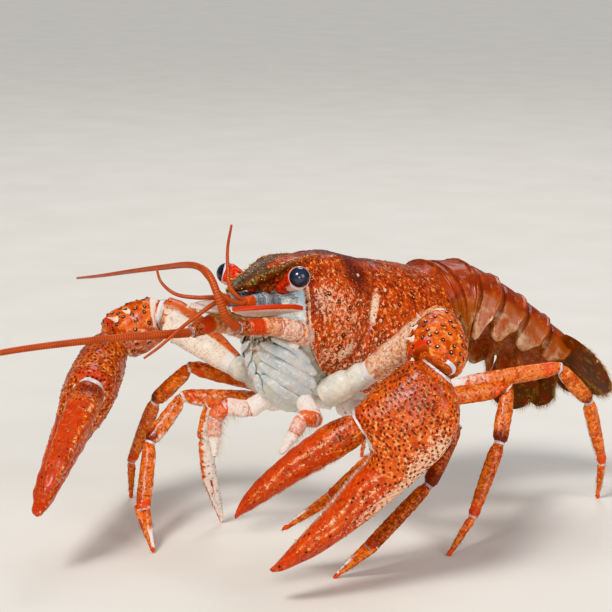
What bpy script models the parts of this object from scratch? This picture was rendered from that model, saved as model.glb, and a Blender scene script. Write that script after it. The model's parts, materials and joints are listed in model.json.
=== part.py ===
# A narrow-clawed crayfish, life-size, standing alert with its claws lowered and spread.
# The sizes are in millimetres, and every mesh is made in metres, +Z up. The animal faces -Y,
# its left is +X, and the floor it stands on is z = 0. Places are given from the floor under
# BODY_CENTRE, and ORIGIN moves them so that the finished model's middle is at zero.

import math

import bmesh
import bpy
from mathutils import Matrix, Vector

MM = 0.001
GAP = 0.3                  # clearance between neighbouring pieces
INFLATE = 0.4              # how far a clearance copy stands outside the piece it copies

# Body: x is the animal's left, y runs back from the tip of the rostrum, z is up
ORBIT = 14.0               # where the rostrum leaves the head
BODY_CENTRE = Vector((0.0, 35.0, 10.0))
BODY_HEIGHT = 57.0         # of that point over the floor
NOSE_UP = 12.8             # degrees
LEFT_UP = 5.2
ORIGIN = Vector((20.0, 26.0, 0.0))  # from under the body's centre to the middle of the whole

# Carapace: distance back, half width, top and underside
CARAPACE = (
    (12.5, 5.2, 17.0, 6.5),
    (ORBIT, 7.6, 19.4, 3.0),
    (20.0, 10.6, 22.4, -3.5),
    (30.0, 12.7, 24.7, -9.5),
    (42.0, 13.8, 24.0, -12.5),
    (53.0, 16.0, 24.2, -12.0),
    (61.0, 16.4, 23.8, -7.5),
    (67.0, 14.8, 22.4, 0.0),
)
# Rear margin of the carapace: degrees round from the back's midline, distance back
REAR_MARGIN = (
    (0, 63.0), (40, 64.5), (75, 66.6), (100, 66.0), (125, 62.5), (150, 58.5), (180, 57.0),
)
CARAPACE_SIDES = 28
WIDEST = 0.42              # height of the widest level, as a share of the section's height
# Cervical groove: degrees round from the back's midline, distance back
GROOVE = ((0, 44.0), (30, 42.8), (60, 38.5), (90, 35.0), (110, 31.0), (135, 27.0), (180, 25.0))
GROOVE_DEPTH = 0.045       # as a share of the section

# Rostrum: distance back, half width, height of its top, thickness
ROSTRUM = (
    (1.2, 0.8, 13.3, 1.2),
    (3.2, 1.7, 14.4, 1.9),
    (5.0, 3.0, 15.4, 2.4),
    (9.5, 4.0, 17.8, 2.9),
    (14.0, 5.6, 20.2, 3.2),
    (18.0, 6.4, 22.0, 3.4),
    (25.0, 5.4, 23.4, 3.0),
)
ROSTRUM_TIP = Vector((0.0, -0.4, 12.4))
ROSTRUM_TEETH = (13.0, 10.6, 8.2, 5.4)
# Spines of the head and behind the groove: distance back, degrees round, length
BROW_SPINES = ((19.0, 26, 2.6), (28.5, 24, 2.2))
CHEEK_SPINES = ((22.0, 62), (25.5, 78), (29.0, 90))
FLANK_SPINES = (52, 64, 76, 88)

STALK_ROOT = Vector((3.8, 14.5, 14.2))
EYE_CENTRE = Vector((11.5, 11.6, 16.9))
EYE_RADIUS = 2.55
STALK_RADIUS = 2.1

# Antennae: joints of the stout base, with the radius at each, then the scale beside it
PEDUNCLE = {
    "left": (
        ((8.6, 19.0, 3.6), 3.2), ((10.3, 13.5, 5.0), 3.3), ((9.9, 8.0, 5.9), 2.7),
        ((9.0, 3.2, 5.2), 2.1), ((8.3, -0.6, 4.6), 1.8), ((8.0, -3.0, 4.3), 1.5),
    ),
    "right": (
        ((8.6, 19.0, 3.6), 3.2), ((9.8, 13.5, 5.2), 3.3), ((9.4, 8.6, 5.4), 2.7),
        ((9.0, 4.4, 4.6), 2.1), ((9.1, 1.2, 3.4), 1.8), ((9.3, -1.0, 2.4), 1.5),
    ),
}
SCALE_ROOT = Vector((10.6, 14.0, 9.6))
SCALE_TIP = Vector((6.9, -5.4, 8.0))
SCALE_WIDTH = 6.6
# Share of its length, reach outwards and inwards as shares of the width
SCALE_OUTLINE = (
    (0.0, 0.16, 0.2), (0.15, 0.3, 0.45), (0.4, 0.3, 0.68), (0.65, 0.22, 0.62), (0.85, 0.1, 0.36),
    (0.95, 0.04, 0.12),
)
FEELER_BASE = 1.15         # radius
FEELER_END = 0.3
FILAMENT_BASE = 0.65
FILAMENT_END = 0.3
# Each feeler's route over the floor, from just past its base, and a direction well off the route
FEELER = {
    "left": (
        (8.2, -42.0, 63.5), (7.4, -43.6, 68.5), (3.6, -43.0, 73.0), (-6.0, -39.0, 73.2),
        (-27.0, -29.0, 68.5), (-48.0, -20.3, 63.5), (-72.5, -9.6, 57.5), (-94.0, 0.5, 52.5),
    ),
    "right": (
        (-11.0, -47.0, 57.2), (-14.2, -60.0, 57.9), (-18.5, -85.0, 58.4), (-21.5, -106.0, 56.6),
        (-23.0, -126.0, 52.0),
    ),
}
FEELER_SQUARE = {"left": (0.3, 1.0, 0.2), "right": (0.0, 0.0, 1.0)}

# Antennules: base joints, then the two filaments of each side
SMALL_PEDUNCLE = (
    ((3.2, 13.5, 10.8), 2.0), ((3.8, 8.0, 11.0), 1.9), ((4.0, 4.5, 10.6), 1.5), ((4.0, 2.4, 10.4), 1.2),
)
FILAMENTS = {
    "left": (
        ((3.6, 0.8, 11.0), (2.6, -1.6, 13.4), (1.6, -1.8, 17.8), (1.2, -2.0, 22.4), (2.2, -2.4, 27.6)),
        ((4.4, 0.6, 9.8), (3.6, -2.2, 10.4), (1.8, -4.6, 12.2), (-1.0, -5.2, 14.8), (-4.6, -4.4, 16.8)),
    ),
    "right": (
        (
            (-4.4, 0.6, 10.8), (-7.2, -2.6, 10.4), (-11.0, -5.4, 10.8), (-14.4, -7.0, 13.2),
            (-15.8, -7.8, 16.6),
        ),
        (
            (-3.8, 0.6, 9.6), (-5.0, -3.2, 6.6), (-8.0, -6.6, 2.4), (-10.4, -9.6, -1.6),
            (-12.4, -12.4, -4.6),
        ),
    ),
}

# Mouthparts under the head: point, half width, half thickness
MOUTH = (
    ((0.0, 12.6, 6.0), 4.0, 1.8),
    ((0.0, 13.8, 2.6), 5.6, 3.0),
    ((0.0, 16.6, -2.8), 6.6, 4.0),
    ((0.0, 20.2, -7.8), 6.2, 4.0),
    ((0.0, 23.8, -11.6), 4.8, 3.0),
    ((0.0, 26.2, -13.2), 3.0, 1.6),
)
# Third maxillipeds: joints and the radius at each
MAXILLIPED = {
    "left": (
        ((4.2, 24.0, -10.6), 2.2), ((8.8, 23.4, -15.0), 2.2), ((11.2, 21.4, -15.6), 2.0),
        ((9.8, 18.8, -15.4), 1.9), ((9.0, 17.6, -19.2), 1.6), ((7.0, 15.6, -24.2), 0.5),
    ),
    "right": (
        ((-4.2, 23.6, -10.6), 2.2), ((-8.4, 19.6, -15.0), 2.2), ((-11.4, 14.6, -14.6), 2.0),
        ((-13.4, 13.4, -17.4), 1.9), ((-13.8, 14.2, -22.0), 1.6), ((-13.2, 14.2, -27.0), 0.5),
    ),
}

# Claws: where they leave the body, then each length; directions are degrees round from straight
# ahead towards the claw's own side, and up
CLAW_ROOT = Vector((8.0, 28.5, -9.5))
CLAW_LENGTHS = {"base": 13.0, "arm": 23.0, "wrist": 15.5}
CLAW_LENGTH = 59.0         # of the palm with its fixed finger
CLAW_POSE = {
    "left": {"base": (103, 30), "arm": (103, 38), "wrist": (39, -26.5), "palm": (-35, -50.5)},
    "right": {"base": (77, 20), "arm": (77, 28), "wrist": (48, -28), "palm": (-28, -31)},
}
# The way each claw's upper face looks, as a direction of the same kind
CLAW_FACE = {"left": (42, 16), "right": (47, 24)}
# Palm and fixed finger: distance from the wrist, middle, half width, half thickness. The middle
# is measured towards the moving finger
PALM = (
    (0.4, -0.6, 3.6, 3.4),
    (3.0, -1.6, 7.2, 5.2),
    (8.0, -2.6, 9.4, 6.2),
    (14.5, -2.5, 10.3, 6.6),
    (20.0, -2.4, 9.6, 6.2),
    (24.0, -5.9, 5.7, 5.0),
    (31.0, -5.3, 4.8, 4.3),
    (39.0, -4.4, 3.9, 3.6),
    (47.0, -3.1, 3.2, 2.9),
    (53.0, -1.8, 2.2, 2.1),
    (57.0, -0.6, 1.2, 1.3),
)
FINGER_HINGE = (19.5, 4.4)
FINGER_OPEN = {"left": 18.5, "right": 3.0}  # degrees
FINGER_LENGTH = 36.5
FINGER = (
    (0.0, 0.0, 2.6, 2.8),
    (3.0, 0.2, 3.5, 3.8),
    (8.0, 0.4, 4.0, 4.0),
    (14.0, 0.5, 3.7, 3.6),
    (21.0, 0.3, 3.1, 3.1),
    (27.0, -0.1, 2.5, 2.5),
    (32.0, -0.8, 1.7, 1.8),
    (35.0, -1.5, 0.9, 1.0),
)

# Sections of the claw's three joints before the palm: share of the length, half thickness and
# half height
CLAW_BASE = ((0.0, 3.6, 3.4), (0.5, 3.5, 3.4), (0.62, 2.8, 2.8), (0.8, 3.2, 3.2), (1.0, 2.6, 2.7))
CLAW_ARM = (
    (0.0, 2.6, 2.7), (0.15, 3.1, 3.6), (0.5, 3.5, 4.8), (0.8, 4.0, 5.6), (0.93, 3.8, 4.9),
    (1.0, 3.0, 3.2),
)
CLAW_WRIST = (
    (0.0, 3.0, 3.2), (0.2, 5.2, 5.4), (0.5, 6.6, 6.2), (0.8, 6.6, 6.0), (0.95, 5.0, 4.8),
    (1.0, 3.6, 3.6),
)
# Spines of the claw: share along the segment, degrees round it from its inner side towards its
# upper face, length. Then the teeth on the palm's inner edge and on both cutting edges, as
# distances from the wrist or from the finger's hinge
ARM_SPINES = ((0.45, -40, 1.4), (0.62, -40, 1.7), (0.78, -40, 2.1), (0.92, -30, 2.4), (0.86, 70, 1.8))
WRIST_SPINES = ((0.5, 10, 1.6), (0.72, 5, 2.6), (0.9, -35, 1.8))
PALM_TEETH = (6.0, 9.5, 13.0, 28.0, 34.0, 40.0)
FINGER_TEETH = (11.0, 17.0, 23.0)
TOOTH = 1.1                # height

# Walking legs, by pair and side. Each row is where the leg stands, over the floor where it is
# raised; the lengths of its upper leg, carpus, palm and finger; how far its knee is turned round
# the line from root to foot; and the bends of the two lower joints, in degrees
LEG_ROOT = {
    2: (7.5, 36.0, -12.0), 3: (8.5, 43.0, -12.5), 4: (8.5, 50.0, -11.6), 5: (7.5, 56.5, -8.8),
}
LEGS = {
    "leg2_left": ((14.4, -30.3, 12.0), (23, 10, 14, 14), -73, (10, 16)),
    "leg3_left": ((22.6, -21.5, 0.0), (28, 14.5, 20.5, 11), -69, (22, 7)),
    "leg4_left": ((31.9, 9.0, 0.0), (32, 14, 20.5, 11.5), -62, (10, 12)),
    "leg5_left": ((31.0, 72.0, 0.0), (41, 14, 22, 12), 26, (22, 16)),
    "leg2_right": ((-26.3, -10.7, 0.0), (22, 9.5, 12, 15), -40, (13, 6)),
    "leg3_right": ((-21.4, -38.6, 0.0), (33, 14, 18, 11), 45, (30, 19)),
    "leg4_right": ((-58.7, -12.4, 0.0), (37, 14.5, 21, 12), -22, (20, 17)),
    "leg5_right": ((-40.0, 58.0, 0.0), (38, 14, 21, 12), 10, (18, 14)),
}
PINCER_PAIRS = (2, 3)      # the pairs of legs that end in a small pincer
# Leg sections: share of the length, half thickness across the leg, half height in its plane
UPPER_LEG = (
    (0.0, 2.6, 2.7), (0.14, 2.7, 2.8), (0.2, 2.0, 2.2), (0.3, 2.1, 2.4), (0.37, 1.6, 1.8),
    (0.46, 1.6, 2.3), (0.8, 1.6, 2.3), (0.94, 1.6, 2.0), (1.0, 1.3, 1.5),
)
CARPUS = ((0.0, 1.3, 1.5), (0.3, 1.5, 1.9), (0.85, 1.5, 2.0), (1.0, 1.1, 1.3))
LEG_PALM = ((0.14, 1.4, 1.8), (0.7, 1.3, 1.6), (1.0, 1.0, 1.1))
PINCER_PALM = ((0.14, 1.5, 2.0), (0.75, 1.6, 2.4), (1.0, 1.3, 1.9))
LEG_FINGER = ((0.12, 1.0, 1.1), (0.55, 0.75, 0.85), (1.0, 0.55, 0.6))
PINCER_FINGER = ((0.1, 0.95, 1.0), (0.6, 0.75, 0.8), (1.0, 0.5, 0.55))
PINCER_SPREAD = 1.35       # from the palm's middle to each finger's
FOOT_RADIUS = 0.6

# Abdomen: length, half width, arch height, depth of the side lobe, pitch, yaw of each segment
TAIL_START = Vector((0.6, 63.4, 22.1))
ABDOMEN = (
    (6.5, 12.6, 10.0, 3.0, 33, 14),
    (9.0, 14.0, 11.0, 8.4, 6, 18),
    (9.5, 13.8, 10.6, 7.8, -22, 20),
    (9.5, 13.0, 9.8, 6.8, -28, 23),
    (9.0, 12.0, 9.0, 5.6, -31, 25),
    (10.0, 10.4, 8.0, 4.0, -34, 25),
)
# Form of a segment: share of its length, size, share of the side lobe's depth
SEGMENT_FORM = (
    (0.0, 0.93, 0.35), (0.14, 0.96, 0.6), (0.3, 1.0, 0.95), (0.6, 1.0, 1.0), (0.85, 1.01, 0.55),
    (0.94, 1.03, 0.4), (1.0, 0.97, 0.35),
)
TELSON_PITCH = -52
BELLY = 1.25               # depth of the underside, as a share of the arch height
TELSON = (16.5, 6.8, 5.8)  # length, half width at the root and near the end
# Tail fan blades: length, half width, turn outwards, droop and roll, drop under the telson and
# start beside it. The angles are in degrees
FAN = {
    "inner": (17.5, 5.8, 24, 3, 5, 2.6, 5.4),
    "outer": (18.0, 6.4, 44, 8, 10, 5.0, 8.2),
}
FAN_THICKNESS = 1.0

COLOURS = {
    "shell": (0.33, 0.13, 0.07), "limb": (0.45, 0.16, 0.07), "claw": (0.55, 0.22, 0.07),
    "pale": (0.72, 0.62, 0.52), "eye": (0.01, 0.012, 0.03), "feeler": (0.3, 0.07, 0.04),
}


# Scene
def clear_scene():
    for item in list(bpy.data.objects):
        bpy.data.objects.remove(item, do_unlink=True)


def new_collection(name):
    made = bpy.data.collections.new(name)
    bpy.context.scene.collection.children.link(made)
    return made


def material_for(name, colour, roughness):
    made = bpy.data.materials.new(name)
    made.use_nodes = True
    shader = made.node_tree.nodes["Principled BSDF"]
    shader.inputs["Base Color"].default_value = (*COLOURS[colour], 1.0)
    shader.inputs["Roughness"].default_value = roughness
    shader.inputs["Metallic"].default_value = 0.0
    return made


# Frames and curves
def body_turn():
    pitch = Matrix.Rotation(-math.radians(NOSE_UP), 3, "X")
    return pitch @ Matrix.Rotation(-math.radians(LEFT_UP), 3, "Y")


BODY_TURN = body_turn()


def body_point(point):
    return BODY_TURN @ (Vector(point) - BODY_CENTRE) + Vector((0.0, 0.0, BODY_HEIGHT))


def body_turn_vector(direction):
    return (BODY_TURN @ Vector(direction)).normalized()


def mirrored(point, sign):
    return Vector((point[0] * sign, point[1], point[2]))


def heading(turn, rise, sign):
    """A direction: degrees from straight ahead towards the animal's own side, and up."""
    turn, rise = math.radians(turn), math.radians(rise)
    level = math.cos(rise)
    return Vector((sign * math.sin(turn) * level, -math.cos(turn) * level, math.sin(rise)))


def eased(stations, at):
    """The row of numbers at a distance, on a smooth curve through the stations."""
    keys = [row[0] for row in stations]
    at = min(max(at, keys[0]), keys[-1])
    index = max(i for i in range(len(keys) - 1) if keys[i] <= at)
    low, high = stations[index], stations[index + 1]
    before = stations[max(index - 1, 0)]
    after = stations[min(index + 2, len(stations) - 1)]
    span = high[0] - low[0]
    t = (at - low[0]) / span
    row = []
    for column in range(1, len(low)):
        slope_low = (high[column] - before[column]) / max(high[0] - before[0], 1e-6) * span
        slope_high = (after[column] - low[column]) / max(after[0] - low[0], 1e-6) * span
        row.append(
            (2 * t**3 - 3 * t**2 + 1) * low[column]
            + (t**3 - 2 * t**2 + t) * slope_low
            + (3 * t**2 - 2 * t**3) * high[column]
            + (t**3 - t**2) * slope_high
        )
    return row


def smooth_path(points, steps):
    """Points on a smooth curve through the given ones, evenly stepped between each two."""
    rows = [(i, *point) for i, point in enumerate(points)]
    count = (len(points) - 1) * steps
    return [Vector(eased(rows, i / steps)) for i in range(count + 1)]


def oval(centre, side, up, half_side, half_up, sides, power=1.0):
    ring = []
    for i in range(sides):
        angle = 2 * math.pi * (i + 0.5) / sides
        c, s = math.cos(angle), math.sin(angle)
        x = math.copysign(abs(c) ** power, c) * half_side
        z = math.copysign(abs(s) ** power, s) * half_up
        ring.append(centre + side * x + up * z)
    return ring


# Meshes
def loft(name, rings, start=None, end=None):
    """A closed surface through rings of equal count, each end closed on a point."""
    bm = bmesh.new()
    rows = [[bm.verts.new((point + ORIGIN) * MM) for point in ring] for ring in rings]
    count = len(rows[0])
    for row, following in zip(rows, rows[1:]):
        for i in range(count):
            j = (i + 1) % count
            bm.faces.new((row[i], row[j], following[j], following[i]))
    for row, ring, point in ((rows[0], rings[0], start), (rows[-1], rings[-1], end)):
        middle = bm.verts.new(((point or sum(ring, Vector()) / count) + ORIGIN) * MM)
        for i in range(count):
            bm.faces.new((row[i], row[(i + 1) % count], middle))
    bmesh.ops.triangulate(bm, faces=bm.faces)
    bmesh.ops.recalc_face_normals(bm, faces=bm.faces)
    mesh = bpy.data.meshes.new(name)
    bm.to_mesh(mesh)
    bm.free()
    made = bpy.data.objects.new(name, mesh)
    bpy.context.scene.collection.objects.link(made)
    return made


def keep_largest(piece):
    """Drops all but the largest closed surface of a piece."""
    bm = bmesh.new()
    bm.from_mesh(piece.data)
    left = set(bm.verts)
    shells = []
    while left:
        shell, edge = set(), [left.pop()]
        while edge:
            vertex = edge.pop()
            shell.add(vertex)
            for link in vertex.link_edges:
                other = link.other_vert(vertex)
                if other in left:
                    left.discard(other)
                    edge.append(other)
        shells.append(shell)
    shells.sort(key=len)
    loose = [vertex for shell in shells[:-1] for vertex in shell]
    bmesh.ops.delete(bm, geom=loose, context="VERTS")
    bm.to_mesh(piece.data)
    bm.free()


def apply_boolean(piece, operation, others):
    """One Boolean of a piece with several others, applied, and the others removed. The solver is
    Manifold because Exact leaves nothing of the head; every piece here is closed."""
    group = new_collection("joining")
    for other in others:
        bpy.context.scene.collection.objects.unlink(other)
        group.objects.link(other)
        other.hide_render = True
        other.display_type = "WIRE"
    modifier = piece.modifiers.new("joined", "BOOLEAN")
    modifier.operation = operation
    modifier.operand_type = "COLLECTION"
    modifier.collection = group
    modifier.solver = "MANIFOLD"
    bpy.context.view_layer.update()
    graph = bpy.context.evaluated_depsgraph_get()
    mesh = bpy.data.meshes.new_from_object(piece.evaluated_get(graph))
    piece.modifiers.clear()
    piece.data = mesh
    for other in others:
        bpy.data.objects.remove(other, do_unlink=True)
    bpy.data.collections.remove(group)
    keep_largest(piece)


def fuse(piece, others):
    apply_boolean(piece, "UNION", others)


def inflated(piece, distance=INFLATE):
    """A copy that stands a little outside the piece, to cut a neighbour clear of it."""
    mesh = piece.data.copy()
    made = bpy.data.objects.new(piece.name + "_clearance", mesh)
    bpy.context.scene.collection.objects.link(made)
    offsets = [vertex.normal * distance * MM for vertex in mesh.vertices]
    for vertex, offset in zip(mesh.vertices, offsets):
        vertex.co += offset
    return made


def clear_of(piece, neighbours):
    for neighbour in neighbours:
        apply_boolean(piece, "DIFFERENCE", [inflated(neighbour)])


def cone(base, direction, length, radius, sides=5):
    """A spine whose root is sunk one radius into what it grows from."""
    direction = direction.normalized()
    side = direction.orthogonal().normalized()
    up = direction.cross(side)
    sunk = base - direction * radius
    ring = oval(sunk, side, up, radius, radius, sides)
    return loft("spine", [ring], sunk - direction * radius * 0.2, base + direction * length)


def finish(piece, name, colour, roughness=0.4):
    piece.name = name
    piece.data.name = name
    piece.data.materials.clear()
    piece.data.materials.append(material_for(name, colour, roughness))
    piece.data.shade_smooth()
    piece.data.set_sharp_from_angle(angle=math.radians(40))
    bpy.context.scene.collection.objects.unlink(piece)
    CRAYFISH.objects.link(piece)
    return piece


# Carapace
def groove_at(degrees):
    return eased(GROOVE, abs(degrees))[0]


def carapace_point(back, degrees, scale=1.0):
    """A point of the shell: degrees run from the back's midline down the animal's left side."""
    half, top, under = eased(CARAPACE, back)
    middle = under + (top - under) * WIDEST
    angle = math.radians(degrees)
    s, c = math.sin(angle), math.cos(angle)
    x = math.copysign(abs(s) ** 0.9, s) * half
    z = math.copysign(abs(c) ** 0.9, c) * (top - middle if c > 0 else middle - under)
    return body_point((x * scale, back, middle + z * scale))


def carapace_normal(back, degrees):
    along = carapace_point(back + 0.5, degrees) - carapace_point(back - 0.5, degrees)
    around = carapace_point(back, degrees + 2) - carapace_point(back, degrees - 2)
    return along.cross(around).normalized() * -1.0


def shell_ring(start, end, share, shift=0.0, scale=1.0):
    """A ring between two fronts, each a function of the degrees round the shell."""
    ring = []
    for i in range(CARAPACE_SIDES):
        degrees = 360.0 * i / CARAPACE_SIDES - 180.0
        back = start(degrees) * (1 - share) + end(degrees) * share + shift
        ring.append(carapace_point(back, degrees, scale))
    return ring


def front_at(degrees):
    return CARAPACE[0][0]


def head():
    shares = (0.0, 0.06, 0.16, 0.3, 0.48, 0.66, 0.82, 0.93)
    rings = [shell_ring(front_at, groove_at, share) for share in shares]
    rings.append(shell_ring(front_at, groove_at, 1.0, -GAP / 2, 1 - GROOVE_DEPTH))
    middle = body_point((0.0, 36.0 - GAP / 2, 8.0))
    piece = loft("head", rings, end=middle)
    fuse(piece, [rostrum()])
    spines = []
    for sign in (1, -1):
        for back, degrees, length in BROW_SPINES:
            base = carapace_point(back, degrees * sign)
            spines.append(cone(base, body_turn_vector((0.15 * sign, -1.0, 0.45)), length, 1.1))
        for back in ROSTRUM_TEETH:
            half, top, thick = eased(ROSTRUM, back)
            base = body_point((sign * half * 0.9, back, top - thick * 0.45))
            spines.append(cone(base, body_turn_vector((0.75 * sign, -0.8, 0.15)), 1.5, 0.7))
        for back, degrees in CHEEK_SPINES:
            base = carapace_point(back, degrees * sign)
            spines.append(cone(base, body_turn_vector((0.8 * sign, -0.8, 0.0)), 1.3, 0.8))
    fuse(piece, spines)
    return piece


def rostrum():
    """The beak between the eyes: a tapered trough with raised edges."""
    rings = []
    for back, half, top, thick in ROSTRUM:
        outline = (
            (-1.0, -0.35), (-0.92, 0.0), (-0.5, -0.22), (0.0, -0.3), (0.5, -0.22), (0.92, 0.0),
            (1.0, -0.35), (0.6, -0.9), (0.0, -1.0), (-0.6, -0.9),
        )
        rings.append([body_point((x * half, back, top + z * thick)) for x, z in outline])
    return loft("rostrum", rings, start=body_point(ROSTRUM_TIP))


def rear_at(degrees):
    return eased(REAR_MARGIN, abs(degrees))[0]


def thorax():
    rings = [shell_ring(groove_at, rear_at, 0.0, GAP / 2, 1 - GROOVE_DEPTH)]
    shares = (0.07, 0.2, 0.4, 0.6, 0.8, 0.93, 1.0)
    rings += [shell_ring(groove_at, rear_at, share) for share in shares]
    middle = body_point((0.0, 36.0 + GAP / 2, 8.0))
    piece = loft("thorax", rings, start=middle)
    spines = []
    for sign in (1, -1):
        for degrees in FLANK_SPINES:
            back = groove_at(degrees) + 3.0
            base = carapace_point(back, degrees * sign)
            lean = carapace_normal(back, degrees * sign) + body_turn_vector((0, -1, 0))
            spines.append(cone(base, lean, 1.4, 0.8))
    fuse(piece, spines)
    return piece


# Eyes and feelers
def eye_pair(sign, word, body):
    root = body_point(mirrored(STALK_ROOT, sign))
    centre = body_point(mirrored(EYE_CENTRE, sign))
    axis = (centre - root).normalized()
    side = axis.orthogonal().normalized()
    up = axis.cross(side)
    reach = (centre - root).length
    stations = ((0.0, 1.7), (0.35, 1.8), (0.7, STALK_RADIUS), (1.0, STALK_RADIUS + 0.15))
    seat = reach - EYE_RADIUS * 0.45
    rings = []
    for share, radius in stations:
        rings.append(oval(root + axis * seat * share, side, up, radius, radius, 12))
    stalk = loft("stalk", rings)
    clear_of(stalk, body)
    rings = []
    for degrees in (-24, 0, 25, 50, 72):
        angle = math.radians(degrees)
        at = centre + axis * EYE_RADIUS * math.sin(angle)
        radius = EYE_RADIUS * math.cos(angle)
        rings.append(oval(at, side, up, radius, radius, 14))
    start = centre - axis * EYE_RADIUS * 0.42
    eye = loft("eye", rings, start=start, end=centre + axis * EYE_RADIUS)
    shift = axis * (root + axis * (seat + GAP) - start).dot(axis)
    for vertex in eye.data.vertices:
        vertex.co += shift * MM
    finish(stalk, "eye_stalk_" + word, "limb")
    finish(eye, "eye_" + word, "eye", 0.08)


def tube(points, radii, sides, up_hint):
    """Rings along a path, each square to it."""
    rings = []
    for i, point in enumerate(points):
        ahead = points[min(i + 1, len(points) - 1)]
        behind = points[max(i - 1, 0)]
        tangent = (ahead - behind).normalized()
        side = tangent.cross(up_hint).normalized()
        up = side.cross(tangent)
        rings.append(oval(point, side, up, radii[i], radii[i], sides))
    return rings


def tapered(count, base, end):
    """Radii from base to end, thinning a little faster towards the end."""
    return [end + (base - end) * (1 - i / (count - 1)) ** 0.8 for i in range(count)]


def feeler(base, word):
    points = smooth_path([Vector(point) for point in (base, *FEELER[word])], 5)
    radii = tapered(len(points), FEELER_BASE, FEELER_END)
    rings = tube(points, radii, 6, Vector(FEELER_SQUARE[word]))
    return finish(loft("feeler", rings), "antenna_" + word, "feeler")


def antenna_pair(sign, word, body):
    joints = [body_point(mirrored(point, sign)) for point, radius in PEDUNCLE[word]]
    radii = [radius for point, radius in PEDUNCLE[word]]
    rings = []
    for i in range(len(joints) - 1):
        direction = (joints[i + 1] - joints[i]).normalized()
        side = direction.cross(body_turn_vector((0, 0, 1))).normalized()
        up = side.cross(direction)
        for share, swell in ((0.06, 0.86), (0.3, 1.0), (0.8, 1.0)):
            radius = (radii[i] * (1 - share) + radii[i + 1] * share) * swell
            rings.append(oval(joints[i].lerp(joints[i + 1], share), side, up, radius, radius, 12))
    rings.append(oval(joints[-1], side, up, radii[-1], radii[-1], 12))
    base = loft("peduncle", rings)
    direction = (joints[-1] - joints[-2]).normalized()
    antenna = feeler(joints[-1] + direction * 2 * GAP, word)
    clear_of(base, [*body, antenna])
    finish(base, "antenna_base_" + word, "limb")
    scale_blade(sign, word, [*body, base])


def scale_blade(sign, word, body):
    """The antennal scale: straight and spined outside, rounded inside."""
    root, tip = body_point(mirrored(SCALE_ROOT, sign)), body_point(mirrored(SCALE_TIP, sign))
    axis = (tip - root).normalized()
    outward = body_turn_vector((sign, 0, 0))
    outward = (outward - axis * outward.dot(axis)).normalized()
    up = axis.cross(outward) * -sign
    rings = []
    for share, outer, inner in SCALE_OUTLINE:
        at = root.lerp(tip, share)
        out, into = outer * SCALE_WIDTH, inner * SCALE_WIDTH
        top = ((out, 0.55), (out * 0.4, 0.75), (-into * 0.5, 0.45), (-into, 0.2))
        under = ((-into * 0.98, -0.2), (-into * 0.4, -0.3), (out * 0.5, -0.35), (out, -0.25))
        rings.append([at + outward * x + up * z for x, z in (*top, *under)])
    blade = loft("scale", rings, end=tip)
    clear_of(blade, body)
    finish(blade, "antenna_scale_" + word, "claw")


def antennule_pair(sign, word, body):
    joints = [body_point(mirrored(point, sign)) for point, radius in SMALL_PEDUNCLE]
    radii = [radius for point, radius in SMALL_PEDUNCLE]
    base = loft("small_peduncle", tube(joints, radii, 8, body_turn_vector((0, 0, 1))))
    clear_of(base, body)
    filaments = []
    sunk = joints[-1].lerp(joints[-2], 0.4)
    for route in FILAMENTS[word]:
        points = smooth_path([sunk, *[body_point(point) for point in route]], 3)
        radii = tapered(len(points), FILAMENT_BASE, FILAMENT_END)
        filaments.append(loft("filament", tube(points, radii, 5, body_turn_vector((1, 0.2, 0)))))
    fuse(base, filaments)
    finish(base, "antennule_" + word, "limb")


# Mouth
def mouthparts(body):
    side = body_turn_vector((1, 0, 0))
    points = [body_point(point) for point, half, thick in MOUTH]
    rings = []
    for i, (point, half, thick) in enumerate(MOUTH):
        direction = (points[min(i + 1, len(points) - 1)] - points[max(i - 1, 0)]).normalized()
        rings.append(oval(points[i], side, direction.cross(side), half, thick, 16))
    piece = loft("mouthparts", rings)
    clear_of(piece, body)
    return finish(piece, "mouthparts", "pale")


def maxilliped(word, body):
    joints = [body_point(point) for point, radius in MAXILLIPED[word]]
    radii = [radius for point, radius in MAXILLIPED[word]]
    points, widths = [joints[0]], [radii[0]]
    for i in range(len(joints) - 1):
        for share in (0.35, 0.75, 1.0):
            points.append(joints[i].lerp(joints[i + 1], share))
            pinch = 0.82 if share == 1.0 and i < len(joints) - 2 else 1.0
            widths.append((radii[i] * (1 - share) + radii[i + 1] * share) * pinch)
    piece = loft("maxilliped", tube(points, widths, 8, body_turn_vector((1, 0.3, 0))))
    clear_of(piece, body)
    return finish(piece, "maxilliped_" + word, "pale")


# Limbs
def limb_rings(joints, profiles, side, sides, first=0, last=None, trim_start=0.0, trim_end=0.0):
    """Rings along the segments first to last of a jointed path. Each profile row is a share of
    its segment, the half thickness along side and the half height square to it."""
    last = len(profiles) if last is None else last
    directions = [(b - a).normalized() for a, b in zip(joints, joints[1:])]
    rings = []
    for k in range(first, last):
        for share, thick, high in profiles[k]:
            if share == 0.0 and k > first:
                continue
            along = directions[k]
            if share == 1.0 and k + 1 < len(directions):
                along = (directions[k] + directions[k + 1]).normalized()
            if share == 0.0 and k > 0:
                along = (directions[k] + directions[k - 1]).normalized()
            centre = joints[k].lerp(joints[k + 1], share)
            if k == first and share == 0.0:
                centre = centre + along * trim_start
            if k == last - 1 and share == 1.0:
                centre = centre - along * trim_end
            across = (side - along * side.dot(along)).normalized()
            rings.append(oval(centre, across, along.cross(across), thick, high, sides))
    return rings


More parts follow.
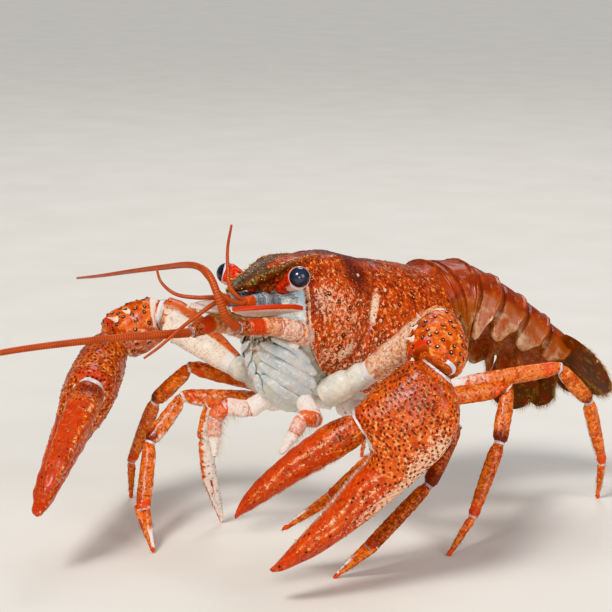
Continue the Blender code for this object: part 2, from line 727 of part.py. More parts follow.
def leg_joints(root, foot, lengths, swing, bends):
    """Root, knee, two lower joints and foot, from the lengths and the foot's place."""
    upper, carpus, palm, finger = lengths
    flat, angle = [Vector((0.0, 0.0))], 0.0
    for length, bend in ((carpus, 0), (palm, bends[0]), (finger, bends[1])):
        angle -= math.radians(bend)
        flat.append(flat[-1] + Vector((math.cos(angle), math.sin(angle))) * length)
    chord = flat[-1].length
    line = foot - root
    reach = line.length
    axis = line / reach
    side = axis.cross(Vector((0, 0, 1))).normalized()
    swing = math.radians(swing)
    rise = side.cross(axis) * math.cos(swing) + side * math.sin(swing)
    along = (upper**2 - chord**2 + reach**2) / (2 * reach)
    knee = root + axis * along + rise * math.sqrt(max(upper**2 - along**2, 0.01))
    run = (foot - knee).normalized()
    normal = axis.cross(rise).normalized()
    bow = normal.cross(run)
    bow = bow if bow.dot(rise) > 0 else -bow
    ahead = flat[-1] / chord
    beside = Vector((-ahead.y, ahead.x))
    lower = [knee + run * point.dot(ahead) + bow * point.dot(beside) for point in flat]
    return [root, *lower], normal


def walking_leg(pair, sign, word, neighbours):
    """One leg; its upper part, which it hands back, is cut clear of the neighbours."""
    name = "leg%d_%s" % (pair, word)
    foot, lengths, swing, bends = LEGS[name]
    root = body_point(mirrored(LEG_ROOT[pair], sign))
    joints, normal = leg_joints(root, Vector(foot), lengths, swing, bends)
    pincer = pair in PINCER_PAIRS
    ends = (PINCER_PALM, PINCER_FINGER) if pincer else (LEG_PALM, LEG_FINGER)
    profiles = [UPPER_LEG, CARPUS, *ends]
    upper = loft("upper", limb_rings(joints, profiles, normal, 10, 0, 1, 0.0, GAP / 2))
    raised = foot[2] > 0
    if pincer:
        lower = loft("lower", limb_rings(joints, profiles, normal, 10, 1, 3, GAP / 2, 0.0))
        along = (joints[4] - joints[3]).normalized()
        spread = normal.cross(along).normalized() * PINCER_SPREAD
        if spread.z > 0:
            spread = -spread
        fingers = []
        for offset, lift in ((spread, 0.0), (-spread, 0.9)):
            start = joints[3] - along * 2.0 + offset * 0.8
            end = joints[4] + offset * (0.25 if lift else -0.2) - along * lift
            end = end if raised or lift else Vector((end.x, end.y, 0.0))
            rings = limb_rings([start, end], [((0.0, 0.8, 0.9), *PINCER_FINGER)], normal, 8)
            if not raised and not lift:
                rings[-1] = flat_ring(end, rings[-2])
            fingers.append(loft("finger", rings))
        fuse(lower, fingers)
    else:
        rings = limb_rings(joints, profiles, normal, 10, 1, 4, GAP / 2, 0.0)
        rings[-1] = flat_ring(joints[4], rings[-2])
        lower = loft("lower", rings)
    clear_of(upper, [*neighbours, lower])
    finish(lower, name + "_lower", "limb")
    return finish(upper, name + "_upper", "limb")


def flat_ring(centre, before):
    """A small level ring that the limb stands on, in line with the points of the ring before."""
    middle = sum(before, Vector()) / len(before)
    ring = []
    for point in before:
        offset = (point - middle).to_2d().normalized() * FOOT_RADIUS
        ring.append(Vector((centre.x + offset.x, centre.y + offset.y, 0.0)))
    return ring


# Claws
def claw_frame(sign, word):
    pose = CLAW_POSE[word]
    root = body_point(mirrored(CLAW_ROOT, sign))
    joints = [root]
    for key, length in CLAW_LENGTHS.items():
        joints.append(joints[-1] + heading(*pose[key], sign) * length)
    axis = heading(*pose["palm"], sign)
    face = heading(*CLAW_FACE[word], sign)
    face = (face - axis * face.dot(axis)).normalized()
    inner = face.cross(axis) * -sign
    return joints, axis, face, inner


def limb_spines(start, end, profile, inner, turn, rows):
    """Spines on one segment; turn is 1 where its upper face follows on from its inner side."""
    along = (end - start).normalized()
    across = (inner - along * inner.dot(along)).normalized()
    up = along.cross(across) * turn
    made = []
    for share, degrees, length in rows:
        thick, high = eased(profile, share)
        c, s = math.cos(math.radians(degrees)), math.sin(math.radians(degrees))
        base = start.lerp(end, share) + across * c * thick + up * s * high
        made.append(cone(base, across * c + up * s + along * 0.5, length, 0.8))
    return made


def claw(sign, word, body):
    joints, axis, face, inner = claw_frame(sign, word)
    path = [*joints, joints[-1] + axis * 10.0]
    profiles = [CLAW_BASE, CLAW_ARM, CLAW_WRIST]
    base = loft("base", limb_rings(path, profiles, inner, 14, 0, 1, 0.0, GAP / 2))
    clear_of(base, body)
    arm = loft("arm", limb_rings(path, profiles, inner, 14, 1, 2, GAP / 2, GAP / 2))
    wrist = loft("wrist", limb_rings(path, profiles, inner, 14, 2, 3, GAP / 2, GAP / 2))
    start = joints[-1]
    rings = []
    for along, middle, half, thick in PALM:
        rings.append(oval(start + axis * along + inner * middle, inner, face, half, thick, 16, 0.9))
    palm = loft("palm", rings, end=start + axis * CLAW_LENGTH + inner * 0.5)
    opening = math.radians(FINGER_OPEN[word])
    out = axis * math.cos(opening) + inner * math.sin(opening)
    across = inner * math.cos(opening) - axis * math.sin(opening)
    hinge_at = start + axis * FINGER_HINGE[0] + inner * FINGER_HINGE[1]
    rings = []
    for along, middle, half, thick in FINGER:
        at = hinge_at + out * along + across * middle
        rings.append(oval(at, across, face, half, thick, 14, 0.95))
    finger = loft("finger", rings, end=hinge_at + out * FINGER_LENGTH - across * 2.2)
    fuse(arm, limb_spines(joints[1], joints[2], CLAW_ARM, inner, -sign, ARM_SPINES))
    fuse(wrist, limb_spines(joints[2], joints[3], CLAW_WRIST, inner, -sign, WRIST_SPINES))
    clear_of(arm, [wrist, base])
    clear_of(finger, [palm])
    clear_of(wrist, [palm])
    teeth = []
    for along in PALM_TEETH:
        middle, half, thick = eased(PALM, along)
        teeth.append(cone(start + axis * along + inner * (middle + half), inner, TOOTH, 0.7))
    fuse(palm, teeth)
    teeth = []
    for along in FINGER_TEETH:
        middle, half, thick = eased(FINGER, along)
        teeth.append(cone(hinge_at + out * along + across * (middle - half), -across, TOOTH, 0.7))
    fuse(finger, teeth)
    finish(base, "claw_base_" + word, "limb")
    finish(arm, "claw_arm_" + word, "claw")
    finish(wrist, "claw_wrist_" + word, "claw")
    finish(palm, "claw_palm_" + word, "claw")
    finish(finger, "claw_finger_" + word, "claw")
    return base


# Abdomen and tail fan
def tail_frames():
    """The frame at each joint of the abdomen: point on the back's midline, side, up, along."""
    bends = [row[-2:] for row in ABDOMEN] + [(TELSON_PITCH, ABDOMEN[-1][-1])]
    directions = []
    for pitch, yaw in bends:
        pitch, yaw = math.radians(pitch), math.radians(yaw)
        back = math.cos(pitch)
        direction = (math.sin(yaw) * back, math.cos(yaw) * back, math.sin(pitch))
        directions.append(body_turn_vector(direction))
    point = body_point(TAIL_START)
    frames = []
    level = body_turn_vector((1, 0, 0))
    for i, direction in enumerate(directions):
        along = direction if i == 0 else (direction + directions[i - 1]).normalized()
        side = (level - along * level.dot(along)).normalized()
        frames.append((point, side, side.cross(along), along))
        if i < len(ABDOMEN):
            point = point + direction * ABDOMEN[i][0]
    return frames, directions[-1]


def segment_ring(frame, half, arch, lobe):
    """The arch of the back, then a lobe at each side with the flat belly between them."""
    start, side, up, along = frame
    ring = []
    for degrees in range(-100, 101, 20):
        angle = math.radians(degrees)
        ring.append(start + side * half * math.sin(angle) - up * arch * (1 - math.cos(angle)))
    low, belly = -arch * 1.1 - lobe, -arch * BELLY
    under = ((0.97, low), (0.84, low), (0.72, belly), (0.35, belly - 0.6))
    for x, z in (*under, *[(-x, z) for x, z in reversed(under)]):
        ring.append(start + side * half * x + up * z)
    return ring


def between(frame, following, share):
    """The frame at a share of the way from one joint of the abdomen to the next."""
    point, *directions = [a.lerp(b, share) for a, b in zip(frame, following)]
    return (point, *[direction.normalized() for direction in directions])


def abdomen(body):
    frames, last = tail_frames()
    for i, (length, half, arch, lobe, pitch, yaw) in enumerate(ABDOMEN):
        rings = []
        for share, swell, drop in SEGMENT_FORM:
            frame = between(frames[i], frames[i + 1], share)
            rings.append(segment_ring(frame, half * swell, arch * swell, lobe * drop))
        ends = ((rings[0], frames[i], GAP / 2), (rings[-1], frames[i + 1], -GAP / 2))
        for ring, frame, shift in ends:
            ring[:] = [vertex + frame[3] * shift for vertex in ring]
        piece = loft("segment", rings)
        if i == 0:
            clear_of(piece, body)
        if 0 < i < 5:
            middle = between(frames[i], frames[i + 1], 0.5)
            fuse(piece, [swimmeret(middle, half, arch, sign) for sign in (1, -1)])
        finish(piece, "abdomen_%d" % (i + 1), "shell")
    telson_and_fan(frames[-1], last, piece)


def swimmeret(frame, half, arch, sign):
    point, side, up, along = frame
    start = point + side * sign * half * 0.45 - up * (arch * BELLY - 1.5)
    end = start + side * sign * 1.5 - up * 8.0 + along * 3.5
    rings = []
    for share, wide, thick in ((0.0, 1.0, 0.8), (0.3, 1.1, 0.8), (0.65, 1.4, 0.6), (1.0, 0.5, 0.35)):
        rings.append(oval(start.lerp(end, share), along, side, wide, thick, 6))
    return loft("swimmeret", rings)


def blade(start, axis, side, up, length, half_root, half_end, bow):
    """A thin tail blade with a raised midrib and a rounded end."""
    rings = []
    for share, width in ((0.0, 0.62), (0.15, 0.85), (0.4, 1.0), (0.65, 1.0), (0.85, 0.82), (0.95, 0.5)):
        half = (half_root * (1 - share) + half_end * share) * width
        at = start + axis * length * share - up * bow * share**2
        thin = FAN_THICKNESS / 2 * (1.25 - 0.55 * share)
        top = ((-1.0, 0.2), (-0.5, 0.8), (0.0, 1.5), (0.5, 0.8), (1.0, 0.2))
        under = ((1.0, -0.3), (0.5, -0.8), (0.0, -1.0), (-0.5, -0.8), (-1.0, -0.3))
        rings.append([at + side * x * half + up * z * thin for x, z in (*top, *under)])
    return loft("blade", rings, end=start + axis * length - up * bow)


def telson_and_fan(frame, direction, last_segment):
    point, side, up, along = frame
    up = side.cross(direction).normalized()
    start = point - direction * 1.5 - up * 1.6
    telson = blade(start, direction, side, up, *TELSON, 1.2)
    clear_of(telson, [last_segment])
    finish(telson, "telson", "shell")
    for word, (length, half, turn, droop, roll, drop, beside) in FAN.items():
        for sign, hand in ((1, "left"), (-1, "right")):
            turned = Matrix.Rotation(math.radians(-sign * turn), 3, up)
            axis, across = turned @ direction, turned @ side
            drooped = Matrix.Rotation(math.radians(-droop), 3, across)
            rolled = Matrix.Rotation(math.radians(sign * roll), 3, axis)
            axis, across, top = drooped @ axis, rolled @ across, rolled @ drooped @ up
            root = start + side * sign * beside - up * drop
            piece = blade(root, axis, across, top, length, half, half * 0.9, 1.6)
            clear_of(piece, [last_segment])
            finish(piece, "uropod_%s_%s" % (word, hand), "shell")


def build():
    head_piece, thorax_piece = head(), thorax()
    body = [head_piece, thorax_piece]
    mouth = mouthparts(body)
    for sign, word in ((1, "left"), (-1, "right")):
        eye_pair(sign, word, body)
        antenna_pair(sign, word, body)
        antennule_pair(sign, word, body)
        ahead = claw(sign, word, body)
        maxilliped(word, [*body, mouth, ahead])
        for pair in LEG_ROOT:
            ahead = walking_leg(pair, sign, word, [*body, ahead])
    abdomen(body)
    finish(head_piece, "head", "shell")
    finish(thorax_piece, "thorax", "shell")


clear_scene()
CRAYFISH = new_collection("crayfish")
build()
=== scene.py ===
# Narrow-clawed crayfish on a pale studio floor. Sizes are in millimetres until a mesh is made;
# the animal faces -Y, its left is +X and the floor is z = 0.

import json
import math

import bmesh
import bpy
import numpy as np
from mathutils import Matrix, Vector

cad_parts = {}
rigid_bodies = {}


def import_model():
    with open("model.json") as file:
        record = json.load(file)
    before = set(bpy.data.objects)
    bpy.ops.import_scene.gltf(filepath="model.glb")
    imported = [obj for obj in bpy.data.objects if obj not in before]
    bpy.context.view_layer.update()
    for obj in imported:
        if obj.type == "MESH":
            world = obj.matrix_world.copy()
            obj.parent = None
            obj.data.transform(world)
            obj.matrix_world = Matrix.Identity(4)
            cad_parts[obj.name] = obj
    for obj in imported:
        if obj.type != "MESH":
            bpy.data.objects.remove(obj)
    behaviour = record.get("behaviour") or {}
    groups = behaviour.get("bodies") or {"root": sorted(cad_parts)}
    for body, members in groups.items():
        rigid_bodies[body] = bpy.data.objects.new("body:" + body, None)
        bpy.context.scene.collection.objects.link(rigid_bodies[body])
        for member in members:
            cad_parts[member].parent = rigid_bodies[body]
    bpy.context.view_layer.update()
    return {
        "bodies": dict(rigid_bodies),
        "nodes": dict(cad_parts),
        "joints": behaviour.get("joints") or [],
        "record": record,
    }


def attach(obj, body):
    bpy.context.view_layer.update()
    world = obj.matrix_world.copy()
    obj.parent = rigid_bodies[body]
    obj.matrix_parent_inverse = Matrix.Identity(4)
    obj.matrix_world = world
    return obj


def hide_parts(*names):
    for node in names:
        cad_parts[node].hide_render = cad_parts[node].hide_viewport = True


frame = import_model()
mm = 0.001

stance = {
    "centre": (0.0, 35.0, 10.0),   # a point of the body, and where it stands over the floor
    "place": (20.0, 26.0, 57.0),
    "noseUp": 12.8,                # degrees
    "leftUp": 5.2,
}
sides = (("left", 1), ("right", -1))


# Small tools
def bodyMatrix():
    pitch = Matrix.Rotation(-math.radians(stance["noseUp"]), 3, "X")
    return np.array(pitch @ Matrix.Rotation(-math.radians(stance["leftUp"]), 3, "Y"))


turn = bodyMatrix()


def bodyPoint(points):
    return (np.asarray(points, float) - stance["centre"]) @ turn.T + stance["place"]


def bodyLocal(points):
    return (points - stance["place"]) @ turn + stance["centre"]


def floorPoint(points):   # from the part's own floor frame
    return np.asarray(points, float) + (stance["place"][0], stance["place"][1], 0.0)


def unit(vectors):
    vectors = np.asarray(vectors, float)
    return vectors / np.maximum(np.linalg.norm(vectors, axis=-1, keepdims=True), 1e-9)


def bodyVector(vector):
    return unit(np.asarray(vector, float) @ turn.T)


def mirrored(points, sign):
    return np.asarray(points, float) * (sign, 1, 1)


def turned(vector, axis, degrees):
    return np.array(Matrix.Rotation(math.radians(degrees), 3, Vector(axis))) @ vector


def heading(turnOut, rise, sign):
    turnOut, rise = math.radians(turnOut), math.radians(rise)
    level = math.cos(rise)
    return np.array((sign * math.sin(turnOut) * level, -math.cos(turnOut) * level, math.sin(rise)))


def smoothRow(rows, at):   # a smooth curve through rows of (key, values...)
    rows = np.array(rows, float)
    keys, values = rows[:, 0], rows[:, 1:]
    at = np.clip(np.asarray(at, float), keys[0], keys[-1])
    low = np.clip(np.searchsorted(keys, at, side="right") - 1, 0, len(keys) - 2)
    high, before, after = low + 1, np.maximum(low - 1, 0), np.minimum(low + 2, len(keys) - 1)
    span = (keys[high] - keys[low])[..., None]
    t = (at - keys[low])[..., None] / span
    slopeLow = (values[high] - values[before]) / (keys[high] - keys[before])[..., None] * span
    slopeHigh = (values[after] - values[low]) / (keys[after] - keys[low])[..., None] * span
    return (
        (2 * t**3 - 3 * t**2 + 1) * values[low] + (t**3 - 2 * t**2 + t) * slopeLow
        + (3 * t**2 - 2 * t**3) * values[high] + (t**3 - t**2) * slopeHigh
    )


def smoothPath(points, steps):
    points = np.asarray(points, float)
    rows = np.column_stack([np.arange(len(points)), points])
    return smoothRow(rows, np.arange((len(points) - 1) * steps + 1) / steps)


def smoothLoop(points, count):   # a smooth closed curve through points, as rows x count x 2
    points = np.asarray(points, float)
    corners = points.shape[-2]
    at = np.arange(count) / count * corners
    low = np.floor(at).astype(int)
    t = (at - low)[:, None]
    a, b, c, d = [points[..., (low + shift) % corners, :] for shift in (-1, 0, 1, 2)]
    return b + 0.5 * t * (c - a + t * (2 * a - 5 * b + 4 * c - d + t * (3 * (b - c) + d - a)))


def step(low, high, value):
    t = np.clip((np.asarray(value, float) - low) / (high - low), 0.0, 1.0)
    return t * t * (3 - 2 * t)


def bell(distance, width):
    return np.exp(-((distance / width) ** 2))


def ripple(points, size, seed):   # soft seeded waves of about that size, from -1 to 1
    random = np.random.default_rng(seed)
    total = np.zeros(points.shape[:-1])
    for _ in range(5):
        direction = unit(random.normal(size=3)) * 2 * math.pi / (size * random.uniform(0.7, 1.4))
        total += np.sin(points @ direction + random.uniform(0, 6.28))
    return total / 3.2


def linear(code):   # an sRGB hex colour as Blender's linear values
    values = [int(code[i:i + 2], 16) / 255 for i in (0, 2, 4)]
    return tuple(v / 12.92 if v <= 0.04045 else ((v + 0.055) / 1.055) ** 2.4 for v in values) + (1.0,)


fields = {"FLOAT": "value", "FLOAT_VECTOR": "vector", "FLOAT_COLOR": "color"}


def store(mesh, name, kind, values):   # keeps numbers on the points of a mesh
    attribute = mesh.attributes.new(name, kind, "POINT")
    attribute.data.foreach_set(fields[kind], np.asarray(values, np.float32).reshape(-1))


def read(items, field, width, kind=np.float32):   # one row of numbers for each item of a mesh
    values = np.empty(len(items) * width, kind)
    items.foreach_get(field, values)
    return values.reshape(-1, width)


# Makes an object of a grid of points: rows along it, columns round it. tone holds four shares
# (pale, dark, bright, hairy) for each point.
def gridPiece(name, grid, tone, material=None, start=None, end=None):
    grid = np.asarray(grid, float)
    rows, columns = grid.shape[:2]
    index = np.arange(rows * columns).reshape(rows, columns)
    ahead = np.roll(index, -1, axis=1)
    faces = np.stack([index[:-1], ahead[:-1], ahead[1:], index[1:]], -1).reshape(-1, 4).tolist()
    points, shares = [grid.reshape(-1, 3)], [tone.reshape(-1, 4)]
    along, around = np.meshgrid(np.linspace(0, 1, rows), np.linspace(0, 1, columns), indexing="ij")
    unwrap = [np.column_stack([around.reshape(-1), along.reshape(-1)])]
    count = rows * columns
    for row, point in ((0, start), (rows - 1, end)):
        middle = grid[row].mean(0) if point is None else np.asarray(point, float)
        points.append(middle[None])
        shares.append(tone[row].mean(0)[None])
        unwrap.append(np.array([[0.5, row / (rows - 1)]]))
        faces += [[index[row, i], index[row, (i + 1) % columns], count] for i in range(columns)]
        count += 1
    mesh = bpy.data.meshes.new(name)
    mesh.from_pydata((np.concatenate(points) * mm).tolist(), [], faces)
    store(mesh, "tone", "FLOAT_COLOR", np.concatenate(shares))
    store(mesh, "unwrap", "FLOAT_VECTOR", np.column_stack([np.concatenate(unwrap), np.zeros(count)]))
    bm = bmesh.new()
    bm.from_mesh(mesh)
    bmesh.ops.recalc_face_normals(bm, faces=bm.faces)
    bm.to_mesh(mesh)
    bm.free()
    mesh.shade_smooth()
    if material:
        mesh.materials.append(materials[material])
    return linked(name, mesh)


def linked(name, data):
    made = bpy.data.objects.new(name, data)
    bpy.context.scene.collection.objects.link(made)
    return made


def joined(name, pieces):   # one mesh from several objects, which are removed
    bpy.ops.object.select_all(action="DESELECT")
    for piece in pieces:
        piece.select_set(True)
    bpy.context.view_layer.objects.active = pieces[0]
    if len(pieces) > 1:
        bpy.ops.object.join()
    pieces[0].name = name
    pieces[0].data.name = name
    return pieces[0]


def place(piece, slot, *nodes):
    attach(piece, "root")
    if nodes:
        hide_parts(*nodes)
    return piece


def roundAngles(columns):
    return 2 * math.pi * (np.arange(columns) + 0.5) / columns


def ovalRings(centres, side, up, halfSide, halfUp, columns, power=1.0):
    angle = roundAngles(columns)
    c, s = np.cos(angle), np.sin(angle)
    x = np.sign(c) * np.abs(c) ** power
    z = np.sign(s) * np.abs(s) ** power
    halfSide, halfUp = np.asarray(halfSide, float), np.asarray(halfUp, float)
    side, up = np.broadcast_to(side, centres.shape), np.broadcast_to(up, centres.shape)
    return (
        centres[:, None] + side[:, None] * (halfSide[:, None] * x)[..., None]
        + up[:, None] * (halfUp[:, None] * z)[..., None]
    )


def tubeRings(points, radii, columns, hint):
    tangent = unit(np.gradient(points, axis=0))
    side = unit(np.cross(tangent, hint))
    return ovalRings(points, side, np.cross(side, tangent), radii, radii, columns)


def gridNormals(grid):
    along = np.gradient(grid, axis=0)
    around = np.roll(grid, -1, axis=1) - np.roll(grid, 1, axis=1)
    normal = unit(np.cross(along, around))
    outward = grid - grid.mean(1, keepdims=True)
    return normal * np.sign((normal * outward).sum((0, 1, 2)))


def raised(grid, lift):   # moves a grid out along its own normals
    return grid + gridNormals(grid) * np.broadcast_to(lift, grid.shape[:2])[..., None]


def tones(grid, pale=0.0, dark=0.0, bright=0.0, hairy=0.0):
    shape = grid.shape[:2]
    return np.stack([np.broadcast_to(np.clip(v, 0, 1), shape) for v in (pale, dark, bright, hairy)], -1)


# Node trees
def wire(tree, node, inputs):   # links or sets the inputs of a node
    for name, value in inputs.items():
        for part in value if isinstance(value, list) else [value]:
            if isinstance(part, bpy.types.NodeSocket):
                tree.links.new(part, node.inputs[name])
            else:
                node.inputs[name].default_value = part


# Adds a node and gives one output, or the node if out is None. A word as its settings is its
# operation, or else its data type.
def add(tree, kind, settings=None, inputs=None, out=0):
    made = tree.nodes.new(kind)
    if isinstance(settings, str):
        settings = {"operation" if hasattr(made, "operation") else "data_type": settings}
    for name, value in (settings or {}).items():
        setattr(made, name, value)
    wire(tree, made, inputs or {})
    return made if out is None else made.outputs[out]


def newTree(name, sockets):
    tree = bpy.data.node_groups.new(name, "GeometryNodeTree")
    tree.interface.new_socket("Geometry", in_out="INPUT", socket_type="NodeSocketGeometry")
    for label, kind, value in sockets:
        socket = tree.interface.new_socket(label, in_out="INPUT", socket_type="NodeSocket" + kind)
        if value is not None:
            socket.default_value = value
    tree.interface.new_socket("Geometry", in_out="OUTPUT", socket_type="NodeSocketGeometry")
    return tree, add(tree, "NodeGroupInput", out=None).outputs


def endTree(tree, source, shape):   # gives the shape its material and hands it out
    out = add(tree, "GeometryNodeRealizeInstances", {}, {0: shape})
    out = add(tree, "GeometryNodeSetMaterial", {}, {0: out, "Material": source["Material"]})
    add(tree, "NodeGroupOutput", {}, {0: out}, None)
    return tree


def grown(piece, tree, values):   # runs a tree on a piece and keeps the result as its plain mesh
    modifier = piece.modifiers.new(tree.name, "NODES")
    modifier.node_group = tree
    for item in tree.interface.items_tree:
        if item.item_type == "SOCKET" and item.in_out == "INPUT" and item.name in values:
            modifier[item.identifier] = values[item.name]
    graph = bpy.context.evaluated_depsgraph_get()
    mesh = bpy.data.meshes.new_from_object(piece.evaluated_get(graph), depsgraph=graph)
    piece.modifiers.clear()
    piece.data = mesh
    piece.data.name = piece.name
    return piece


sums, vectors = "ShaderNodeMath", "ShaderNodeVectorMath"
apart, together = "ShaderNodeSeparateXYZ", "ShaderNodeCombineXYZ"
readBack, keep = "GeometryNodeInputNamedAttribute", "GeometryNodeStoreNamedAttribute"


# Tubercles: low domes spread over the shell, with a soft swelling and a stained ring round each.
# The shell keeps "ring" from how near each dome is, and the domes keep "tip" from foot to top.
# Where they stand is set by "bumps": its x for the large ones, its y for the fine.
def tubercleTree():
    tree, source = newTree("tubercles", (
        ("Spacing", "Float", 1.6), ("Dome Radius", "Float", 0.3), ("Dome Height", "Float", 0.25),
        ("Ring Radius", "Float", 0.6), ("Swell", "Float", 0.08), ("Fine", "Float", 0.0),
        ("Seed", "Int", 1), ("Material", "Material", None),
    ))
    bumps = add(tree, readBack, "FLOAT_VECTOR", {"Name": "bumps"})
    bumps = add(tree, apart, {}, {0: bumps}, None).outputs
    density = add(tree, "ShaderNodeMix", {}, {0: source["Fine"], 2: bumps[0], 3: bumps[1]})
    spacing, reach, swell = [
        add(tree, sums, "MULTIPLY", {0: source[label], 1: mm})
        for label in ("Spacing", "Ring Radius", "Swell")
    ]
    most = add(tree, sums, "POWER", {0: spacing, 1: -2.0})
    scatter = add(tree, "GeometryNodeDistributePointsOnFaces", {"distribute_method": "POISSON"}, {
        "Mesh": source[0], "Distance Min": spacing, "Density Max": most, "Density Factor": density,
        "Seed": source["Seed"],
    }, None).outputs
    core = add(tree, sums, "MULTIPLY", {0: reach, 1: 0.45})   # fully stained inside this
    near = add(tree, "GeometryNodeProximity", {"target_element": "POINTS"}, {0: scatter[0]}, "Distance")
    ring = add(tree, "ShaderNodeMapRange", {"interpolation_type": "SMOOTHSTEP"}, {
        "Value": near, "From Min": reach, "From Max": core, "To Min": 0.0, "To Max": 1.0,
    })
    swell = add(tree, sums, "MULTIPLY", {0: ring, 1: swell})
    lift = add(tree, vectors, "SCALE", {0: add(tree, "GeometryNodeInputNormal"), "Scale": swell})
    before = add(tree, readBack, "FLOAT", {"Name": "ring"})
    ring = add(tree, sums, "MAXIMUM", {0: ring, 1: before})
    shell = add(tree, keep, "FLOAT", {0: source[0], "Name": "ring", "Value": ring})
    shell = add(tree, "GeometryNodeSetPosition", {}, {0: shell, "Offset": lift})
    dome = add(tree, "GeometryNodeMeshCone", {"fill_type": "NONE"}, {
        "Vertices": 7, "Side Segments": 3, "Radius Top": 0.06, "Radius Bottom": 1.0, "Depth": 1.0,
    })
    where = add(tree, "GeometryNodeInputPosition")
    height = add(tree, apart, {}, {0: where}, 2)
    dome = add(tree, keep, "FLOAT", {0: dome, "Name": "tip", "Value": height})
    # the cone becomes a dome: at each height it is as wide as a ball
    wide = add(tree, sums, "MULTIPLY_ADD", {0: height, 1: height, 2: -1.02})
    wide = add(tree, sums, "SQRT", {0: add(tree, sums, "ABSOLUTE", {0: wide})})
    flat = add(tree, vectors, "MULTIPLY", {0: where, 1: (1, 1, 0)})
    flat = add(tree, vectors, "NORMALIZE", {0: flat})
    flat = add(tree, vectors, "SCALE", {0: flat, "Scale": wide})
    bulged = add(tree, vectors, "ADD", {0: flat, 1: add(tree, together, {}, {2: height})})
    dome = add(tree, "GeometryNodeSetPosition", {}, {0: dome, "Position": bulged})
    size = add(tree, together, {}, {0: source["Dome Radius"], 1: source["Dome Radius"], 2: source["Dome Height"]})
    vary = add(tree, "FunctionNodeRandomValue", "FLOAT", {
        2: 0.6 * mm, 3: 1.25 * mm, "Seed": source["Seed"],
    }, 1)
    size = add(tree, vectors, "SCALE", {0: size, "Scale": vary})
    domes = add(tree, "GeometryNodeInstanceOnPoints", {}, {
        0: scatter[0], "Instance": dome, "Rotation": scatter["Rotation"], "Scale": size,
    })
    domes = add(tree, "GeometryNodeRealizeInstances", {}, {0: domes})
    domes = add(tree, "GeometryNodeSetShadeSmooth", {}, {0: domes})
    domes = add(tree, keep, "FLOAT", {0: domes, "Name": "ring", "Value": 1.0})
    return endTree(tree, source, add(tree, "GeometryNodeJoinGeometry", {}, {0: [domes, shell]}))


# Stands a shape on each point, along aim, as long and thick as the point's own "size" says
def planted(tree, points, shape, aim):
    size = add(tree, readBack, "FLOAT_VECTOR", {"Name": "size"})
    size = add(tree, apart, {}, {0: size}, None).outputs
    made = add(tree, "GeometryNodeInstanceOnPoints", {}, {
        0: points, "Instance": shape,
        "Rotation": add(tree, "FunctionNodeAlignRotationToVector", {"axis": "Z"}, {"Vector": aim}),
        "Scale": add(tree, together, {}, {0: size[1], 1: size[1], 2: size[0]}),
    })
    return add(tree, "GeometryNodeRealizeInstances", {}, {0: made}), size


# Setae: tapered bristles that sag a little. Their roots are the points of a small mesh that keeps
# "aim" (which way each lies), "size" (length, radius, sag) and "root" (its place on the unwrap).
def setaTree():
    tree, source = newTree("setae", (
        ("Spread", "Float", 0.25), ("Seed", "Int", 1), ("Material", "Material", None),
    ))
    strand = add(tree, "GeometryNodeMeshCone", {"fill_type": "NONE"}, {
        "Vertices": 3, "Side Segments": 3, "Radius Top": 0.12, "Radius Bottom": 1.0, "Depth": 1.0,
    })
    across, _, height = add(tree, apart, {}, {0: add(tree, "GeometryNodeInputPosition")}, None).outputs
    patch = add(tree, together, {}, {0: across, 1: height})
    # a bristle's own small patch of the unwrap
    patch = add(tree, vectors, "MULTIPLY", {0: patch, 1: (0.0012, 0.0024, 0)})
    strand = add(tree, keep, "FLOAT", {0: strand, "Name": "tip", "Value": height})
    strand = add(tree, keep, "FLOAT_VECTOR", {0: strand, "Name": "patch", "Value": patch})
    loose = add(tree, "FunctionNodeRandomValue", "FLOAT_VECTOR", {
        0: (-1, -1, -1), 1: (1, 1, 1), "Seed": source["Seed"],
    })
    loose = add(tree, vectors, "SCALE", {0: loose, "Scale": source["Spread"]})
    aim, root, patch = [
        add(tree, readBack, "FLOAT_VECTOR", {"Name": name}) for name in ("aim", "root", "patch")
    ]
    aim = add(tree, vectors, "ADD", {0: aim, 1: loose})
    hairs, size = planted(tree, source[0], strand, aim)
    tip = add(tree, readBack, "FLOAT", {"Name": "tip"})
    sag = add(tree, sums, "POWER", {0: tip, 1: 2.0})
    sag = add(tree, sums, "MULTIPLY", {0: sag, 1: size[2]})
    sag = add(tree, vectors, "MULTIPLY", {0: add(tree, together, {}, {2: sag}), 1: (0, 0, -1)})
    hairs = add(tree, "GeometryNodeSetPosition", {}, {0: hairs, "Offset": sag})
    corner = add(tree, vectors, "ADD", {0: root, 1: patch})
    hairs = add(tree, keep, {"data_type": "FLOAT2", "domain": "CORNER"}, {
        0: hairs, "Name": "OFBake", "Value": corner,
    })
    return endTree(tree, source, hairs)


